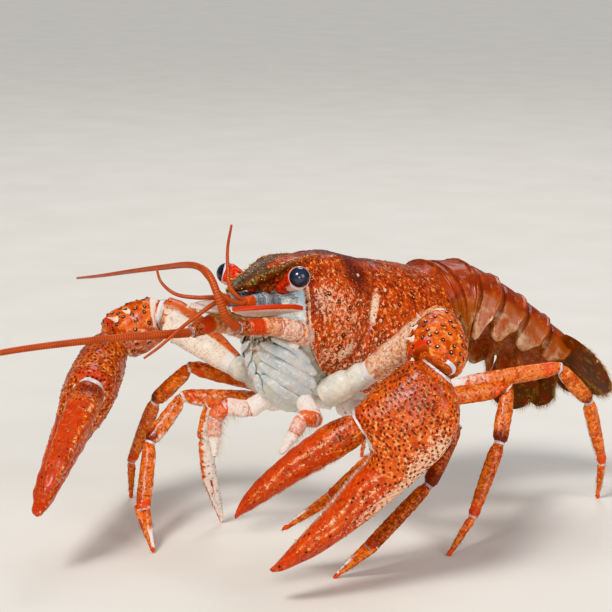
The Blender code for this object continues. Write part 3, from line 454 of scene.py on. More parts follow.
# Spines and teeth: thorns with a swollen foot, on points that keep "aim" and "size"
def spineTree():
    tree, source = newTree("spines", (("Material", "Material", None),))
    thorn = add(tree, "GeometryNodeMeshCone", {"fill_type": "NONE"}, {
        "Vertices": 12, "Side Segments": 7, "Radius Top": 0.02, "Radius Bottom": 1.0, "Depth": 1.0,
    })
    where = add(tree, "GeometryNodeInputPosition")
    height = add(tree, apart, {}, {0: where}, 2)
    thorn = add(tree, keep, "FLOAT", {0: thorn, "Name": "tip", "Value": height})
    foot = add(tree, sums, "SUBTRACT", {0: 1.0, 1: height})
    foot = add(tree, sums, "POWER", {0: foot, 1: 6.0})
    foot = add(tree, sums, "MULTIPLY_ADD", {0: foot, 1: 0.7, 2: 1.0})
    foot = add(tree, together, {}, {0: foot, 1: foot, 2: 1.0})
    wide = add(tree, vectors, "MULTIPLY", {0: where, 1: foot})
    thorn = add(tree, "GeometryNodeSetPosition", {}, {0: thorn, "Position": wide})
    aim = add(tree, readBack, "FLOAT_VECTOR", {"Name": "aim"})
    made = planted(tree, source[0], thorn, aim)[0]
    return endTree(tree, source, add(tree, "GeometryNodeSetShadeSmooth", {}, {0: made}))


# Rings of a feeler: the path is cut at every quarter ring and its radius steps in at each joint
def feelerTree():
    tree, source = newTree("feelerRings", (
        ("Ring Length", "Float", 0.55), ("Groove", "Float", 0.16), ("Sides", "Int", 10),
        ("Material", "Material", None),
    ))
    length = add(tree, sums, "MULTIPLY", {0: source["Ring Length"], 1: mm / 4})
    path = add(tree, "GeometryNodeMeshToCurve", {}, {0: source[0]})
    path = add(tree, "GeometryNodeResampleCurve", {"mode": "LENGTH"}, {"Curve": path, "Length": length})
    phase = add(tree, sums, "MODULO", {0: add(tree, "GeometryNodeInputIndex"), 1: 4.0})
    notch = add(tree, sums, "LESS_THAN", {0: phase, 1: 0.5})
    thick = add(tree, readBack, "FLOAT", {"Name": "thick"})
    groove = add(tree, sums, "MULTIPLY", {0: notch, 1: source["Groove"]})
    groove = add(tree, sums, "SUBTRACT", {0: 1.0, 1: groove})
    radius = add(tree, sums, "MULTIPLY", {0: thick, 1: groove})
    path = add(tree, keep, "FLOAT", {0: path, "Name": "ring", "Value": notch})
    profile = add(tree, "GeometryNodeCurvePrimitiveCircle", {"mode": "RADIUS"}, {
        "Resolution": source["Sides"], "Radius": 1.0,
    })
    path = add(tree, "GeometryNodeSetCurveRadius", {}, {"Curve": path, "Radius": radius})
    tube = add(tree, "GeometryNodeCurveToMesh", {}, {
        "Curve": path, "Profile Curve": profile, "Fill Caps": True, "Scale": radius,
    })
    return endTree(tree, source, add(tree, "GeometryNodeSetShadeSmooth", {}, {0: tube}))


tubercles, setae, spines, feelerRings = tubercleTree(), setaTree(), spineTree(), feelerTree()
print("trees made")


def storeBumps(piece, large, fine=0.0):
    values = np.zeros((len(piece.data.vertices), 3))
    count = len(values) - 2   # the last two are the middles of the ends
    large, fine = np.asarray(large, float), np.asarray(fine, float)
    values[:count, 0] = large.reshape(-1)
    values[:count, 1] = np.broadcast_to(fine, large.shape).reshape(-1)
    store(piece.data, "bumps", "FLOAT_VECTOR", values)


def domed(piece, sizes, seed, material, fine=0.0):   # sizes: spacing, radius, height, ring radius, swell
    labels = ("Spacing", "Dome Radius", "Dome Height", "Ring Radius", "Swell")
    values = {"Fine": fine, "Seed": seed, "Material": materials[material]}
    return grown(piece, tubercles, {**dict(zip(labels, sizes)), **values})


def pointCloud(name, places, aims, sizes, roots=None):
    mesh = bpy.data.meshes.new(name)
    mesh.from_pydata((np.asarray(places) * mm).tolist(), [], [])
    store(mesh, "aim", "FLOAT_VECTOR", aims)
    store(mesh, "size", "FLOAT_VECTOR", np.asarray(sizes) * mm)
    store(mesh, "root", "FLOAT_VECTOR", np.zeros((len(places), 3)) if roots is None else roots)
    return linked(name, mesh)


def thorns(name, rows, material):   # rows of (place, direction, length, radius)
    sunk = 0.6   # of its radius
    places = [np.asarray(place) - unit(aim) * radius * sunk for place, aim, length, radius in rows]
    sizes = [(length + radius * sunk, radius, 0.0) for place, aim, length, radius in rows]
    cloud = pointCloud(name, places, [unit(row[1]) for row in rows], sizes)
    return grown(cloud, spines, {"Material": materials[material]})


# Roots of bristles on a piece, picked on its faces where its hairy share is high
coats = {}


def bristles(coat, piece, lie, seed, count, length, radius, stand, sag, where=None):
    random = np.random.default_rng(seed)
    mesh = piece.data
    mesh.calc_loop_triangles()
    corners = read(mesh.loop_triangles, "vertices", 3, np.int32)
    spots = read(mesh.vertices, "co", 3) / mm
    hairy = read(mesh.attributes["tone"].data, "color", 4)[:, 3]
    flat = read(mesh.attributes["unwrap"].data, "vector", 3)
    first, second, third = [spots[corners[:, i]] for i in range(3)]
    cross = np.cross(second - first, third - first)
    weight = np.linalg.norm(cross, axis=1) * hairy[corners].mean(1)
    if where is not None:
        weight = weight * where((first + second + third) / 3)
    picked = random.choice(len(corners), count, p=weight / weight.sum())
    share = random.dirichlet((1, 1, 1), count)[..., None]
    roots = (spots[corners[picked]] * share).sum(1)
    normal = unit(cross[picked])
    way = lie(roots) if callable(lie) else np.broadcast_to(lie, roots.shape)
    size = np.column_stack([
        length * random.uniform(0.55, 1.2, count), np.full(count, radius), np.full(count, length * sag),
    ])
    unwrapped = (flat[corners[picked]] * share).sum(1)
    coats.setdefault(coat, []).append((roots - normal * 0.05, unit(unit(way) + normal * stand), size, unwrapped))


# Materials
def newMaterial(name):
    material = bpy.data.materials.new(name)
    material.use_nodes = True
    return material, material.node_tree, material.node_tree.nodes["Principled BSDF"]


def layered(tree, base, layers):   # hex colours over each other, each as far as its share shows it
    colour = linear(base)
    for share, code in layers:   # 6 and 7 are the node's two colours, and output 2 is their mix
        colour = add(tree, "ShaderNodeMix", "RGBA", {0: share, 6: colour, 7: linear(code)}, 2)
    return colour


# Crayfish cuticle: chitin hardened with lime, grown, not made. It is smooth and wet, mottled in
# patches of a few millimetres, flecked at less than one, and pitted where small bristles leave it.
def cuticle(name, look):
    material, tree, shader = newMaterial(name)
    spot = add(tree, "ShaderNodeTexCoord", out="Object")
    ring, tip, tone = [
        add(tree, "ShaderNodeAttribute", {"attribute_name": kept}, out=out)
        for kept, out in (("ring", "Fac"), ("tip", "Fac"), ("tone", "Color"))
    ]
    pale, dark, bright = add(tree, "ShaderNodeSeparateColor", {}, {0: tone}, None).outputs
    patches, flecks, specks = [
        add(tree, "ShaderNodeTexNoise", {}, {
            "Vector": spot, "Scale": 1 / (size * mm), "Detail": detail, "Roughness": 0.65,
        }) for size, detail in ((look["patch"], 4.0), (look["fleckSize"], 3.0), (look["speckSize"], 2.0))
    ]
    # Each layer: how much of it shows, from which level to which, its most, and its colour
    layers = [
        (patches, 0.43, 0.58, 1.0, "mottle"), (flecks, look["fleckFrom"], 0.64, look["fleckAmount"], "fleck"),
        (specks, 0.56, 0.64, look["speckAmount"], "speck"),
    ]
    fine = add(tree, sums, "ADD", {0: flecks, 1: specks})
    wander = add(tree, sums, "MULTIPLY_ADD", {0: fine, 1: look["ragged"] / 2, 2: -look["ragged"] / 2})
    for share, key in ((bright, "bright"), (dark, "dark"), (pale, "pale")):
        ragged = add(tree, sums, "ADD", {0: share, 1: wander})
        layers.append((ragged, 0.28, 0.72, look[key + "Most"], key))
    layers += [
        (specks, 0.53, 0.6, look["freckled"], "freckle"), (ring, 0.05, 0.8, look["ringAmount"], "ring"),
        # tip colour on each dome top and thorn point: on thorns their own pale points, and where it is pale on the
        # domes it is a painted highlight on each top
        (tip, look["tipFrom"], 0.98, 1.0, "tip"),
    ]
    shown = []
    for share, low, high, most, key in layers:
        share = add(tree, "ShaderNodeMapRange", {"interpolation_type": "SMOOTHSTEP"}, {
            "Value": share, "From Min": low, "From Max": high, "To Max": most,
        })
        if key == "freckle":   # only on the pale parts
            share = add(tree, sums, "MULTIPLY", {0: share, 1: pale})
        shown.append((share, look[key]))
    pits = add(tree, "ShaderNodeTexVoronoi", {}, {"Vector": spot, "Scale": 1 / (look["pitSize"] * mm)})
    grain = add(tree, sums, "MULTIPLY_ADD", {0: specks, 1: 0.8, 2: pits})
    wire(tree, shader, {
        "Base Color": layered(tree, look["base"], shown),
        "Roughness": add(tree, sums, "MULTIPLY_ADD", {0: flecks, 1: 0.25, 2: look["rough"] - 0.12}),
        "IOR": 1.5, "Specular IOR Level": 0.4, "Coat Weight": look["wet"], "Coat Roughness": 0.12,
        "Normal": add(tree, "ShaderNodeBump", {}, {
            "Height": grain, "Strength": look["bump"], "Distance": look["pitDepth"] * mm,
        }),
    })
    return material


common = {   # sizes in mm, the rest as shares
    "fleckSize": 1.1, "speckSize": 0.55, "fleckAmount": 0.75, "speckAmount": 0.6, "ragged": 1.1,
    "fleckFrom": 0.54, "freckled": 0.35, "ringAmount": 0.85, "tipFrom": 0.55, "rough": 0.38, "wet": 0.15,
    "bump": 0.4, "pitSize": 0.45, "pitDepth": 0.09, "brightMost": 1.0, "darkMost": 1.0, "paleMost": 1.0,
}
looks = {
    "carapace": {
        "base": "bc3e0c", "mottle": "852004", "fleck": "f0a05a", "speck": "4e1004", "bright": "e06a22",
        "brightMost": 0.6, "dark": "541605", "pale": "f0cfae", "freckle": "b4360c", "freckled": 1.0,
        "ring": "4a1206", "tip": "ffe2b0", "patch": 2.0, "ragged": 3.0, "fleckAmount": 0.9,
        "fleckSize": 0.85, "speckSize": 0.45, "speckAmount": 0.95, "fleckFrom": 0.52, "ringAmount": 1.0,
        "bump": 0.6,
    },
    "rostrum": {
        "base": "6a3a1a", "mottle": "3f2210", "fleck": "a8702e", "speck": "2b150a", "bright": "c2521c",
        "dark": "2c160c", "pale": "6e7c3c", "freckle": "5a3a1a", "ring": "7a4a20", "tip": "ffd488",
        "tipFrom": 0.3, "patch": 1.8, "rough": 0.55, "ringAmount": 0.5,
    },
    "chest": {
        "base": "ded8c8", "mottle": "cdd0c6", "fleck": "f4ecdc", "speck": "a99f86", "bright": "d9622a",
        "dark": "5c3c22", "pale": "9fc0cc", "freckle": "d8ded8", "ring": "b9855a", "tip": "f6f2ea",
        "patch": 4.2, "fleckSize": 2.0, "speckAmount": 0.35, "ringAmount": 0.3, "rough": 0.3, "wet": 0.35,
    },
    "abdomen": {
        "base": "9c360c", "mottle": "7e2608", "fleck": "b55a26", "speck": "5e1a06", "bright": "9c5226",
        "brightMost": 0.75, "dark": "45160a", "pale": "b99878", "freckle": "a86a3a", "ring": "5c1c0a",
        "tip": "d89a60", "patch": 4.5, "fleckSize": 1.8, "fleckAmount": 0.45, "speckAmount": 0.35,
        "ringAmount": 0.4,
    },
    "tailFan": {
        "base": "5a351a", "mottle": "7a2c10", "fleck": "96733a", "speck": "331c0c", "bright": "a8481c",
        "dark": "2c1c0e", "pale": "b59c70", "freckle": "6a4420", "ring": "45200e", "tip": "d6b47a",
        "patch": 3.0, "fleckSize": 1.4, "ringAmount": 0.5, "rough": 0.42,
    },
    "claw": {
        "base": "cf5316", "mottle": "a5340a", "fleck": "f0a45c", "speck": "7c2208", "bright": "b92c0c",
        "brightMost": 0.75, "dark": "681a08", "pale": "f7d4ae", "freckle": "c04a1c", "freckled": 1.0,
        "ring": "4c1206", "tip": "5a1c0c", "patch": 2.4, "fleckSize": 0.85, "speckSize": 0.42, "ringAmount": 0.95,
        "ragged": 3.2, "fleckAmount": 1.0, "fleckFrom": 0.5,
    },
    "wrist": {
        "base": "d85c14", "mottle": "a83808", "fleck": "fcb45e", "speck": "7c2208", "bright": "c8300c",
        "dark": "551606", "pale": "f4e4d4", "freckle": "c85a2c", "ring": "331006", "tip": "fbf0dc",
        "tipFrom": 0.66, "patch": 2.8, "fleckSize": 1.3, "ringAmount": 0.95,
    },
    "arm": {
        "base": "d89a64", "mottle": "b8501e", "fleck": "f2d6ac", "speck": "a02e0a", "bright": "e0601c",
        "dark": "6a2410", "pale": "f4ead8", "freckle": "cf7a44", "ring": "8a3010", "tip": "f8e6c8",
        "patch": 1.3, "fleckSize": 0.8, "speckSize": 0.45, "speckAmount": 0.85, "freckled": 0.6,
        "ragged": 1.6,
    },
    "leg": {
        "base": "ea7a30", "mottle": "c44c14", "fleck": "fcc488", "speck": "7e240a", "bright": "dc460e",
        "dark": "641a08", "pale": "f2eae2", "freckle": "e0946a", "freckled": 0.4, "ring": "6c2008",
        "tip": "e8c090", "patch": 2.2, "fleckSize": 0.9, "ringAmount": 0.7, "ragged": 1.4,
    },
    "joint": {   # soft grey-blue skin between the hard segments
        "base": "e0e0dc", "mottle": "c6ccd6", "fleck": "f0ece6", "speck": "c0b8ba", "bright": "cc5a2c",
        "dark": "7c6a72", "pale": "f2ece8", "freckle": "d8c8c4", "ring": "a08a8a", "tip": "f2ece8",
        "patch": 1.6, "rough": 0.3,
    },
    "antennaBase": {
        "base": "e09058", "mottle": "bc5420", "fleck": "fcdcb0", "speck": "6a2408", "bright": "c23410",
        "dark": "4c1c10", "pale": "efe4d8", "freckle": "e08a4c", "freckled": 0.7, "ring": "6a2c12",
        "tip": "ffe0b0", "patch": 1.5, "fleckSize": 0.7, "speckSize": 0.4, "ragged": 2.0,
    },
    "antennule": {
        "base": "8e9aa4", "mottle": "6d7478", "fleck": "c6ccce", "speck": "3e3c3a", "bright": "c24a1c",
        "dark": "2e2420", "pale": "cfd8de", "freckle": "6a6460", "ring": "4a403a", "tip": "e6e0d6",
        "patch": 1.2, "fleckSize": 0.5, "speckSize": 0.3, "speckAmount": 0.8,
    },
    "plates": {   # thin wet plates over the mouth, milky with blue edges
        "base": "d9dcd6", "mottle": "c3d2d4", "fleck": "eaf0f0", "speck": "a8b8bc", "bright": "6f9cb0",
        "dark": "c8642c", "pale": "f4f6f4", "freckle": "dfe8e8", "ring": "a8b8bc", "tip": "f4f6f4",
        "patch": 3.0, "fleckSize": 1.6, "speckAmount": 0.2, "freckled": 0.1, "rough": 0.24, "wet": 0.5,
        "ragged": 0.4,
    },
    "eyestalk": {
        "base": "c81c08", "mottle": "e03a10", "fleck": "f08a5a", "speck": "8a1206", "bright": "d82c0c",
        "dark": "4a1008", "pale": "f0d4c8", "freckle": "e08a74", "ring": "8a1a0a", "tip": "f0d4c8",
        "patch": 1.2, "fleckSize": 0.6, "fleckAmount": 0.4, "rough": 0.25, "ragged": 0.6,
    },
}
materials = {name: cuticle(name + "Cuticle", {**common, **look}) for name, look in looks.items()}


# Cornea: clear, wet, faceted chitin over dark pigment, so it is glossy and blue-black
def corneaMaterial():
    material, tree, shader = newMaterial("corneaFaceted")
    tone = add(tree, "ShaderNodeAttribute", {"attribute_name": "tone"}, out="Color")
    rim, skin, middle = add(tree, "ShaderNodeSeparateColor", {}, {0: tone}, None).outputs
    facets = add(tree, "ShaderNodeTexVoronoi", {"feature": "DISTANCE_TO_EDGE"}, {
        "Vector": add(tree, "ShaderNodeTexCoord", out="Object"),
        "Scale": 1 / (0.16 * mm),   # real facets are 0.04 mm across, drawn coarser to show
    })
    wire(tree, shader, {
        # middle lays a lighter grey over the front of the cap: a painted sheen
        "Base Color": layered(tree, "1e212c", [(middle, "434a5c"), (rim, "dcc4c6"), (skin, "c4200a")]),
        "Roughness": 0.14, "IOR": 1.45, "Coat Weight": 0.5, "Coat Roughness": 0.04,
        "Normal": add(tree, "ShaderNodeBump", {}, {"Height": facets, "Strength": 0.15, "Distance": 0.02 * mm}),
    })
    return material


# Setae: fine chitin bristles, coloured at the foot and clearer at the end
def setaMaterial(name, foot, end):
    material, tree, shader = newMaterial(name)
    tip = add(tree, "ShaderNodeAttribute", {"attribute_name": "tip"}, out="Fac")
    wire(tree, shader, {"Base Color": layered(tree, foot, [(tip, end)]), "Roughness": 0.5, "IOR": 1.5})
    return material


# Feelers: many short rings of cuticle, darker at each joint
def feelerMaterial():
    material, tree, shader = newMaterial("feelerCuticle")
    patches = add(tree, "ShaderNodeTexNoise", {}, {
        "Vector": add(tree, "ShaderNodeTexCoord", out="Object"), "Scale": 1 / (5 * mm), "Detail": 2.0,
    })
    ring = add(tree, "ShaderNodeAttribute", {"attribute_name": "ring"}, out="Fac")
    ring = add(tree, sums, "MULTIPLY", {0: ring, 1: 0.7})
    wire(tree, shader, {
        "Base Color": layered(tree, "98300e", [(patches, "d05a1e"), (ring, "3a1008")]),
        "Roughness": 0.38, "IOR": 1.5, "Coat Weight": 0.15,
    })
    return material


materials["cornea"] = corneaMaterial()
materials["feeler"] = feelerMaterial()
for name, foot, end in (
    ("goldSetae", "5b2c10", "d89a4e"), ("paleSetae", "b59a80", "f4ecdc"), ("darkSetae", "1e100a", "6e3a1c"),
):
    materials[name] = setaMaterial(name, foot, end)
print("materials made")


# Gives the faces whose points are all marked soft a second material: skin between hard segments
def softened(piece, material):
    mesh = piece.data
    soft = read(mesh.attributes["soft"].data, "value", 1)[:, 0]
    mesh.materials.append(materials[material])
    last = len(mesh.materials) - 1
    for face in mesh.polygons:
        if min(soft[i] for i in face.vertices) > 0.5:
            face.material_index = last
    return piece


def markSoft(piece, grid, share):   # as many points as the grid has, then the middles of its two ends
    share = np.broadcast_to(share, grid.shape[:2])
    values = np.zeros(len(piece.data.vertices), np.float32)
    values[:share.size] = share.reshape(-1)
    values[share.size:] = (share[0].mean(), share[-1].mean())
    store(piece.data, "soft", "FLOAT", values)


# Carapace: one shell from the orbits to the tail, with the cervical groove across it
carapace = {
    "rows": 226, "columns": 236,
    "sections": (   # distance back, half width, top and underside
        (12.5, 5.2, 17.0, 6.5), (14.0, 7.6, 19.4, 3.0), (20.0, 10.6, 22.4, -3.5),
        (30.0, 12.7, 24.7, -9.5), (42.0, 13.8, 24.0, -12.5), (53.0, 16.0, 24.2, -12.0),
        (61.0, 16.4, 23.8, -7.5), (67.0, 14.8, 22.4, 0.0),
    ),
    "widest": 0.42,
    "rear": (   # degrees round from the back's middle, distance back
        (0, 63.0), (40, 64.5), (75, 66.6), (100, 66.0), (125, 62.5), (150, 58.5), (180, 57.0),
    ),
    "groove": (
        (0, 44.0), (30, 42.8), (60, 38.5), (90, 35.0), (110, 31.0), (135, 27.0), (180, 25.0),
    ),
    "grooveDepth": 0.6, "grooveWidth": 0.75, "rowsAhead": 0.46,   # share of the rows ahead of the groove
    # free edge of the shell: degrees round, distance back; past lowEdge degrees is the chest
    "edge": (
        (0, 5.0), (38, 12.0), (50, 15.5), (58, 17.4), (90, 17.8), (112, 18.8), (123, 20.6), (135, 24.2),
        (139, 28.0), (141, 34.0),
    ),
    "lowEdge": 141.0,
    # domes: spacing, radius, height, ring radius, swell
    "granules": (1.0, 0.15, 0.16, 0.34, 0.05), "tubercles": (2.6, 0.24, 0.3, 0.75, 0.12),
    "hairs": {"count": 900, "length": 1.5, "radius": 0.03, "stand": 0.3, "sag": 0.05},
}


def sectionAt(back):
    return [column for column in np.moveaxis(smoothRow(carapace["sections"], back), -1, 0)]


def shellPoint(back, degrees):
    half, top, under = sectionAt(back)
    middle = under + (top - under) * carapace["widest"]
    angle = np.radians(degrees)
    s, c = np.sin(angle), np.cos(angle)
    x = np.sign(s) * np.abs(s) ** 0.9 * half
    z = np.sign(c) * np.abs(c) ** 0.9 * np.where(c > 0, top - middle, middle - under)
    return bodyPoint(np.stack(np.broadcast_arrays(x, back, middle + z), -1))


def shellNormal(back, degrees):
    along = shellPoint(back + 0.5, degrees) - shellPoint(back - 0.5, degrees)
    around = shellPoint(back, degrees + 2.0) - shellPoint(back, degrees - 2.0)
    return -unit(np.cross(along, around))


def makeCarapace():
    c = carapace
    degrees = np.arange(c["columns"]) * 360.0 / c["columns"] - 180.0
    around = np.abs(degrees)
    groove = smoothRow(c["groove"], around)[:, 0]
    rear = smoothRow(c["rear"], around)[:, 0]
    share = np.linspace(0, 1, c["rows"])[:, None]
    split, front = c["rowsAhead"], c["sections"][0][0]
    ahead = front + (groove - front) * share / split
    behind = groove + (rear - groove) * (share - split) / (1 - split)
    back = np.where(share < split, ahead, behind)
    side = np.broadcast_to(around, back.shape)
    grid = shellPoint(back, np.broadcast_to(degrees, back.shape))
    local = bodyLocal(grid)
    edge = np.minimum(back - np.interp(side, *zip(*c["edge"])), (c["lowEdge"] - side) * 0.22)
    inside = step(-0.35, 0.35, edge)
    lift = -c["grooveDepth"] * bell(back - groove, c["grooveWidth"]) * step(170, 120, side)
    lift -= 0.22 * bell(np.abs(local[..., 0]) - 2.6, 0.5) * step(1.0, 4.0, back - groove) * step(90, 60, side)
    lift -= 0.9 * (1 - inside)
    lift += 0.3 * bell(edge - 0.55, 0.5) * step(30, 55, side)   # rolled margin
    lift += 0.28 * bell(rear - back - 0.7, 0.5) - 0.22 * bell(rear - back - 2.0, 0.6)
    lift += 0.55 * bell(side - 27, 5.5) * step(17, 19.5, back) * step(28, 23, back)   # ridge behind the eye
    lift += 0.5 * bell(side - 24, 5.0) * bell(back - 30.5, 2.6)
    lift -= 0.9 * bell(side - 47, 9) * step(19.0, 15.5, back)   # hollow for the eye
    lift += 0.35 * bell(side - 80, 26) * bell(back - 28, 6)
    lift += 0.12 * ripple(grid, 5.0, 3) + 0.05 * ripple(grid, 1.7, 5)
    grid = raised(grid, lift)
    cheek = bell(back - 27, 8.5) * bell(side - 78, 32) * inside
    flank = step(groove + 1, groove + 5, back)
    low = step(84, 118, side)
    rim = bell(edge - 0.3, 0.3) * step(45, 60, side)
    pale = (
        0.7 * rim + 0.42 * cheek
        + 1.5 * bell(back - groove - 0.9, 0.9) * bell(side - 67, 11)                 # white groove
        + 0.6 * bell(back - 29.5 + (side - 104) * 0.2, 1.2) * bell(side - 104, 9)   # painted highlight: a pink-white band where the lower groove catches the light
        + 0.35 * flank * bell(side - 98, 24) * bell(back - 44, 8) + 0.4 * low * (1 - cheek)
        + 0.3 * bell(back - 21.5, 2.4) * bell(side - 70, 12)
    )
    dark = (
        0.85 * bell(back - 34.0, 5.0) * bell(side - 43, 22)
        + 0.62 * step(34, 12, side) * step(16, 24, back) * (1 - flank)
        + 0.35 * bell(back - groove, 0.7) * step(60, 20, side) + 0.25 * flank * step(60, 20, side)
        # painted shade in the hollow behind the eye
        + 0.35 * bell(back - 20, 3.5) * bell(side - 55, 9)
    )
    bright = 0.7 * cheek + 0.35 * flank * bell(side - 70, 30) + 0.25 * low
    face = bell(side - 66, 26) * step(21, 17, back)   # blue and hairy round the antennules
    # painted shade: the face under the rostrum and round the orbits is darkened brown where it lies in the head's
    # shade
    shade = face * (0.34 + 0.2 * ripple(grid, 0.8, 14))
    chest = tones(grid, 0.5 * bell(side - 120, 30) * step(30, 16, back) + 0.6 * face, shade, 0, face)
    outside = (inside < 0.4)[..., None]
    tone = np.where(outside, chest, tones(grid, pale, dark, bright, inside * 0.3))
    shell = gridPiece("carapace", grid, tone)
    markSoft(shell, grid, inside < 0.4)
    clear = (1 - bell(back - groove, 0.8)) * inside * step(138, 125, side)
    large = clear * np.maximum(bell(side - 68, 24) * bell(back - 31, 7), 0.35 * flank * bell(side - 60, 40))
    fine = clear * (0.3 + 0.5 * low + 0.45 * cheek)
    storeBumps(shell, large, fine)
    bristles("stemSetae", shell, bodyVector((0, -1, -0.2)), 15, **c["hairs"],
             where=lambda at: (bodyLocal(at)[:, 1] < 16.5) * (bodyLocal(at)[:, 2] < 15))
    domed(shell, c["granules"], 4, "carapace", fine=1.0)
    domed(shell, c["tubercles"], 5, "carapace")
    softened(shell, "chest")
    shell = joined("carapace", [shell, makeHeadSpines()])
    place(shell, "shell", "head", "thorax")
    print("carapace made:", len(shell.data.polygons))


# Rows of small thorns behind the eye, on the cheek and along the groove
def makeHeadSpines():
    rows = []
    for sign in (1, -1):
        for back, degrees, length in ((19.0, 26, 1.8), (28.5, 24, 1.0)):
            rows.append((shellPoint(back, degrees * sign), bodyVector((0.15 * sign, -1, 0.45)), length, 0.3 * length))
        for back, degrees in (
            (25.5, 78), (29.0, 90), (26.8, 71), (29.6, 70), (33.2, 66), (33.6, 74), (30.4, 79), (35.4, 72),
            (34.4, 44),
        ):
            aim = shellNormal(back, degrees * sign) + bodyVector((0, -0.8, 0))
            rows.append((shellPoint(back, degrees * sign), aim, 0.5, 0.28))
        for degrees in (52, 64, 76, 88):
            back = float(smoothRow(carapace["groove"], degrees)[0]) + 3.0
            aim = shellNormal(back, degrees * sign) + bodyVector((0, -1, 0))
            rows.append((shellPoint(back, degrees * sign), aim, 0.8, 0.34))
    return thorns("headSpines", rows, "carapace")


rostrum = {
    "rows": 90, "columns": 72, "tip": (0.0, -0.4, 12.4),
    "sections": (   # distance back, half width, height of its top, thickness
        (1.2, 0.8, 13.3, 1.2), (3.2, 1.7, 14.4, 1.9), (5.0, 3.0, 15.4, 2.4), (9.5, 4.0, 17.8, 2.9),
        (14.0, 5.6, 20.2, 3.2), (18.0, 6.4, 22.0, 3.4), (25.0, 5.4, 23.4, 3.0),
    ),
    "outline": (
        (-1.0, -0.35), (-0.92, 0.0), (-0.5, -0.22), (0.0, -0.3), (0.5, -0.22), (0.92, 0.0),
        (1.0, -0.35), (0.6, -0.9), (0.0, -1.0), (-0.6, -0.9),
    ),
    # teeth along each side: from and to a distance back, and apart; large ones stand near these
    "toothRow": (2.0, 17.5, 0.85), "largeTeeth": (13.0, 10.6, 8.2, 5.4), "nearEnough": 0.43,
    "largeTooth": (1.4, 0.45), "smallTooth": (0.5, 0.2), "tipTooth": (1.2, 0.5),   # length, radius
    "granules": (0.7, 0.15, 0.28, 0.3, 0.05),
    "hairs": {"count": 160, "length": 0.8, "radius": 0.03, "stand": 0.6, "sag": 0.0},
}


def makeRostrum():
    r = rostrum
    back = np.linspace(r["sections"][0][0], r["sections"][-1][0], r["rows"])
    half, top, thick = np.moveaxis(smoothRow(r["sections"], back), -1, 0)
    outline = smoothLoop(r["outline"], r["columns"])
    x = outline[:, 0] * half[:, None]
    z = top[:, None] + outline[:, 1] * thick[:, None]
    grid = bodyPoint(np.stack(np.broadcast_arrays(x, back[:, None], z), -1))
    grid = raised(grid, 0.07 * ripple(grid, 1.2, 9))
    upper = np.broadcast_to(outline[:, 1] > -0.4, x.shape)
    margin = np.broadcast_to(bell(np.abs(outline[:, 0]) - 0.95, 0.1) * (outline[:, 1] > -0.5), x.shape)
    algae = upper * 0.5 * bell(ripple(grid, 3.0, 12) - 1.0, 0.35)
    rearward = step(12, 20, back)[:, None]
    dark = 0.4 * upper * (1 - margin) + 0.35 * (1 - upper)
    tone = tones(grid, algae, dark, 0.4 * margin + 0.25 * rearward, margin)
    blade = gridPiece("rostrum", grid, tone, start=bodyPoint(r["tip"]))
    bristles("backSetae", blade, bodyVector((0, -0.4, 1)), 14, **r["hairs"])
    storeBumps(blade, (0.2 + 0.4 * rearward) * upper + 0.8 * margin)
    domed(blade, r["granules"], 8, "rostrum")
    rows = []
    for sign in (1, -1):
        for at in np.arange(*r["toothRow"]):
            half, top, thick = smoothRow(r["sections"], at)
            large = min(abs(at - tooth) for tooth in r["largeTeeth"]) < r["nearEnough"]
            base = bodyPoint((sign * half * 0.94, at, top - thick * 0.15))
            aim = bodyVector((0.75 * sign, -0.8, 0.3))
            rows.append((base, aim, *r["largeTooth" if large else "smallTooth"]))
    rows.append((bodyPoint((0.0, 0.4, 12.9)), bodyVector((0, -1.0, 0.12)), *r["tipTooth"]))
    blade = joined("rostrum", [blade, thorns("rostrumTeeth", rows, "rostrum")])
    place(blade, "shell")


makeCarapace()
makeRostrum()


# Eyes: a dark faceted cap with a pale rim, on a red stalk
eye = {
    "root": (3.8, 14.5, 14.2), "centre": (11.5, 11.6, 16.9), "radius": 2.55, "look": (0.72, -0.66, 0.12),
    "capEdge": 21.0,   # degrees up from the ball's middle
    "stalk": (
        (0.0, 1.7), (0.3, 1.75), (0.6, 2.05), (0.82, 2.5), (0.92, 2.7), (0.97, 2.68), (1.0, 2.5),
    ),
}


def makeEye(word, sign):
    root = bodyPoint(mirrored(eye["root"], sign))
    centre = bodyPoint(mirrored(eye["centre"], sign))
    axis = unit(centre - root)
    look = bodyVector(mirrored(eye["look"], sign))
    side = unit(np.cross(look, (0, 0, 1)))
    latitude = np.linspace(-60, 88, 52)   # degrees up from the middle of the ball
    height = np.sin(np.radians(latitude)) * eye["radius"]
    radii = np.cos(np.radians(latitude)) * eye["radius"]
    middle = centre + axis * 0.2
    centres = middle + look * height[:, None]
    lip = 1 + 0.045 * bell(latitude - eye["capEdge"] + 5, 4.5)
    grid = ovalRings(centres, side, np.cross(side, look), radii * lip, radii * lip, 64)
    rim = (step(eye["capEdge"] + 1.5, eye["capEdge"] - 1.5, latitude) * step(4, 9, latitude))[:, None]
    skin = step(9, 4, latitude)[:, None]
    # the third share lightens the front of the cap as a painted sheen
    tone = tones(grid, rim, skin, 0.55 * step(20, 75, latitude)[:, None])
    ball = gridPiece("cornea_" + word, grid, tone, "cornea", end=middle + look * eye["radius"])
    place(ball, "eye", "eye_" + word)
    up = np.cross(unit(np.cross(axis, (0, 0, 1))), axis)
    share = np.linspace(0, 1, 34)
    radii = smoothRow(eye["stalk"], share)[:, 0]
    centres = root + axis * (share * np.linalg.norm(centre - root))[:, None]
    grid = ovalRings(centres, np.cross(axis, up), up, radii, radii, 48)
    grid = raised(grid, 0.05 * ripple(grid, 1.5, 21))
    low = step(-0.1, -0.85, (grid - centres[:, None]) @ up / radii[:, None])
    tone = tones(grid, low * step(0.3, 0.7, share)[:, None], 0.3 * step(0.4, 0.0, share)[:, None])
    place(gridPiece("eyestalk_" + word, grid, tone, "eyestalk"), "limb", "eye_stalk_" + word)


for word, sign in sides:
    makeEye(word, sign)
print("eyes made")


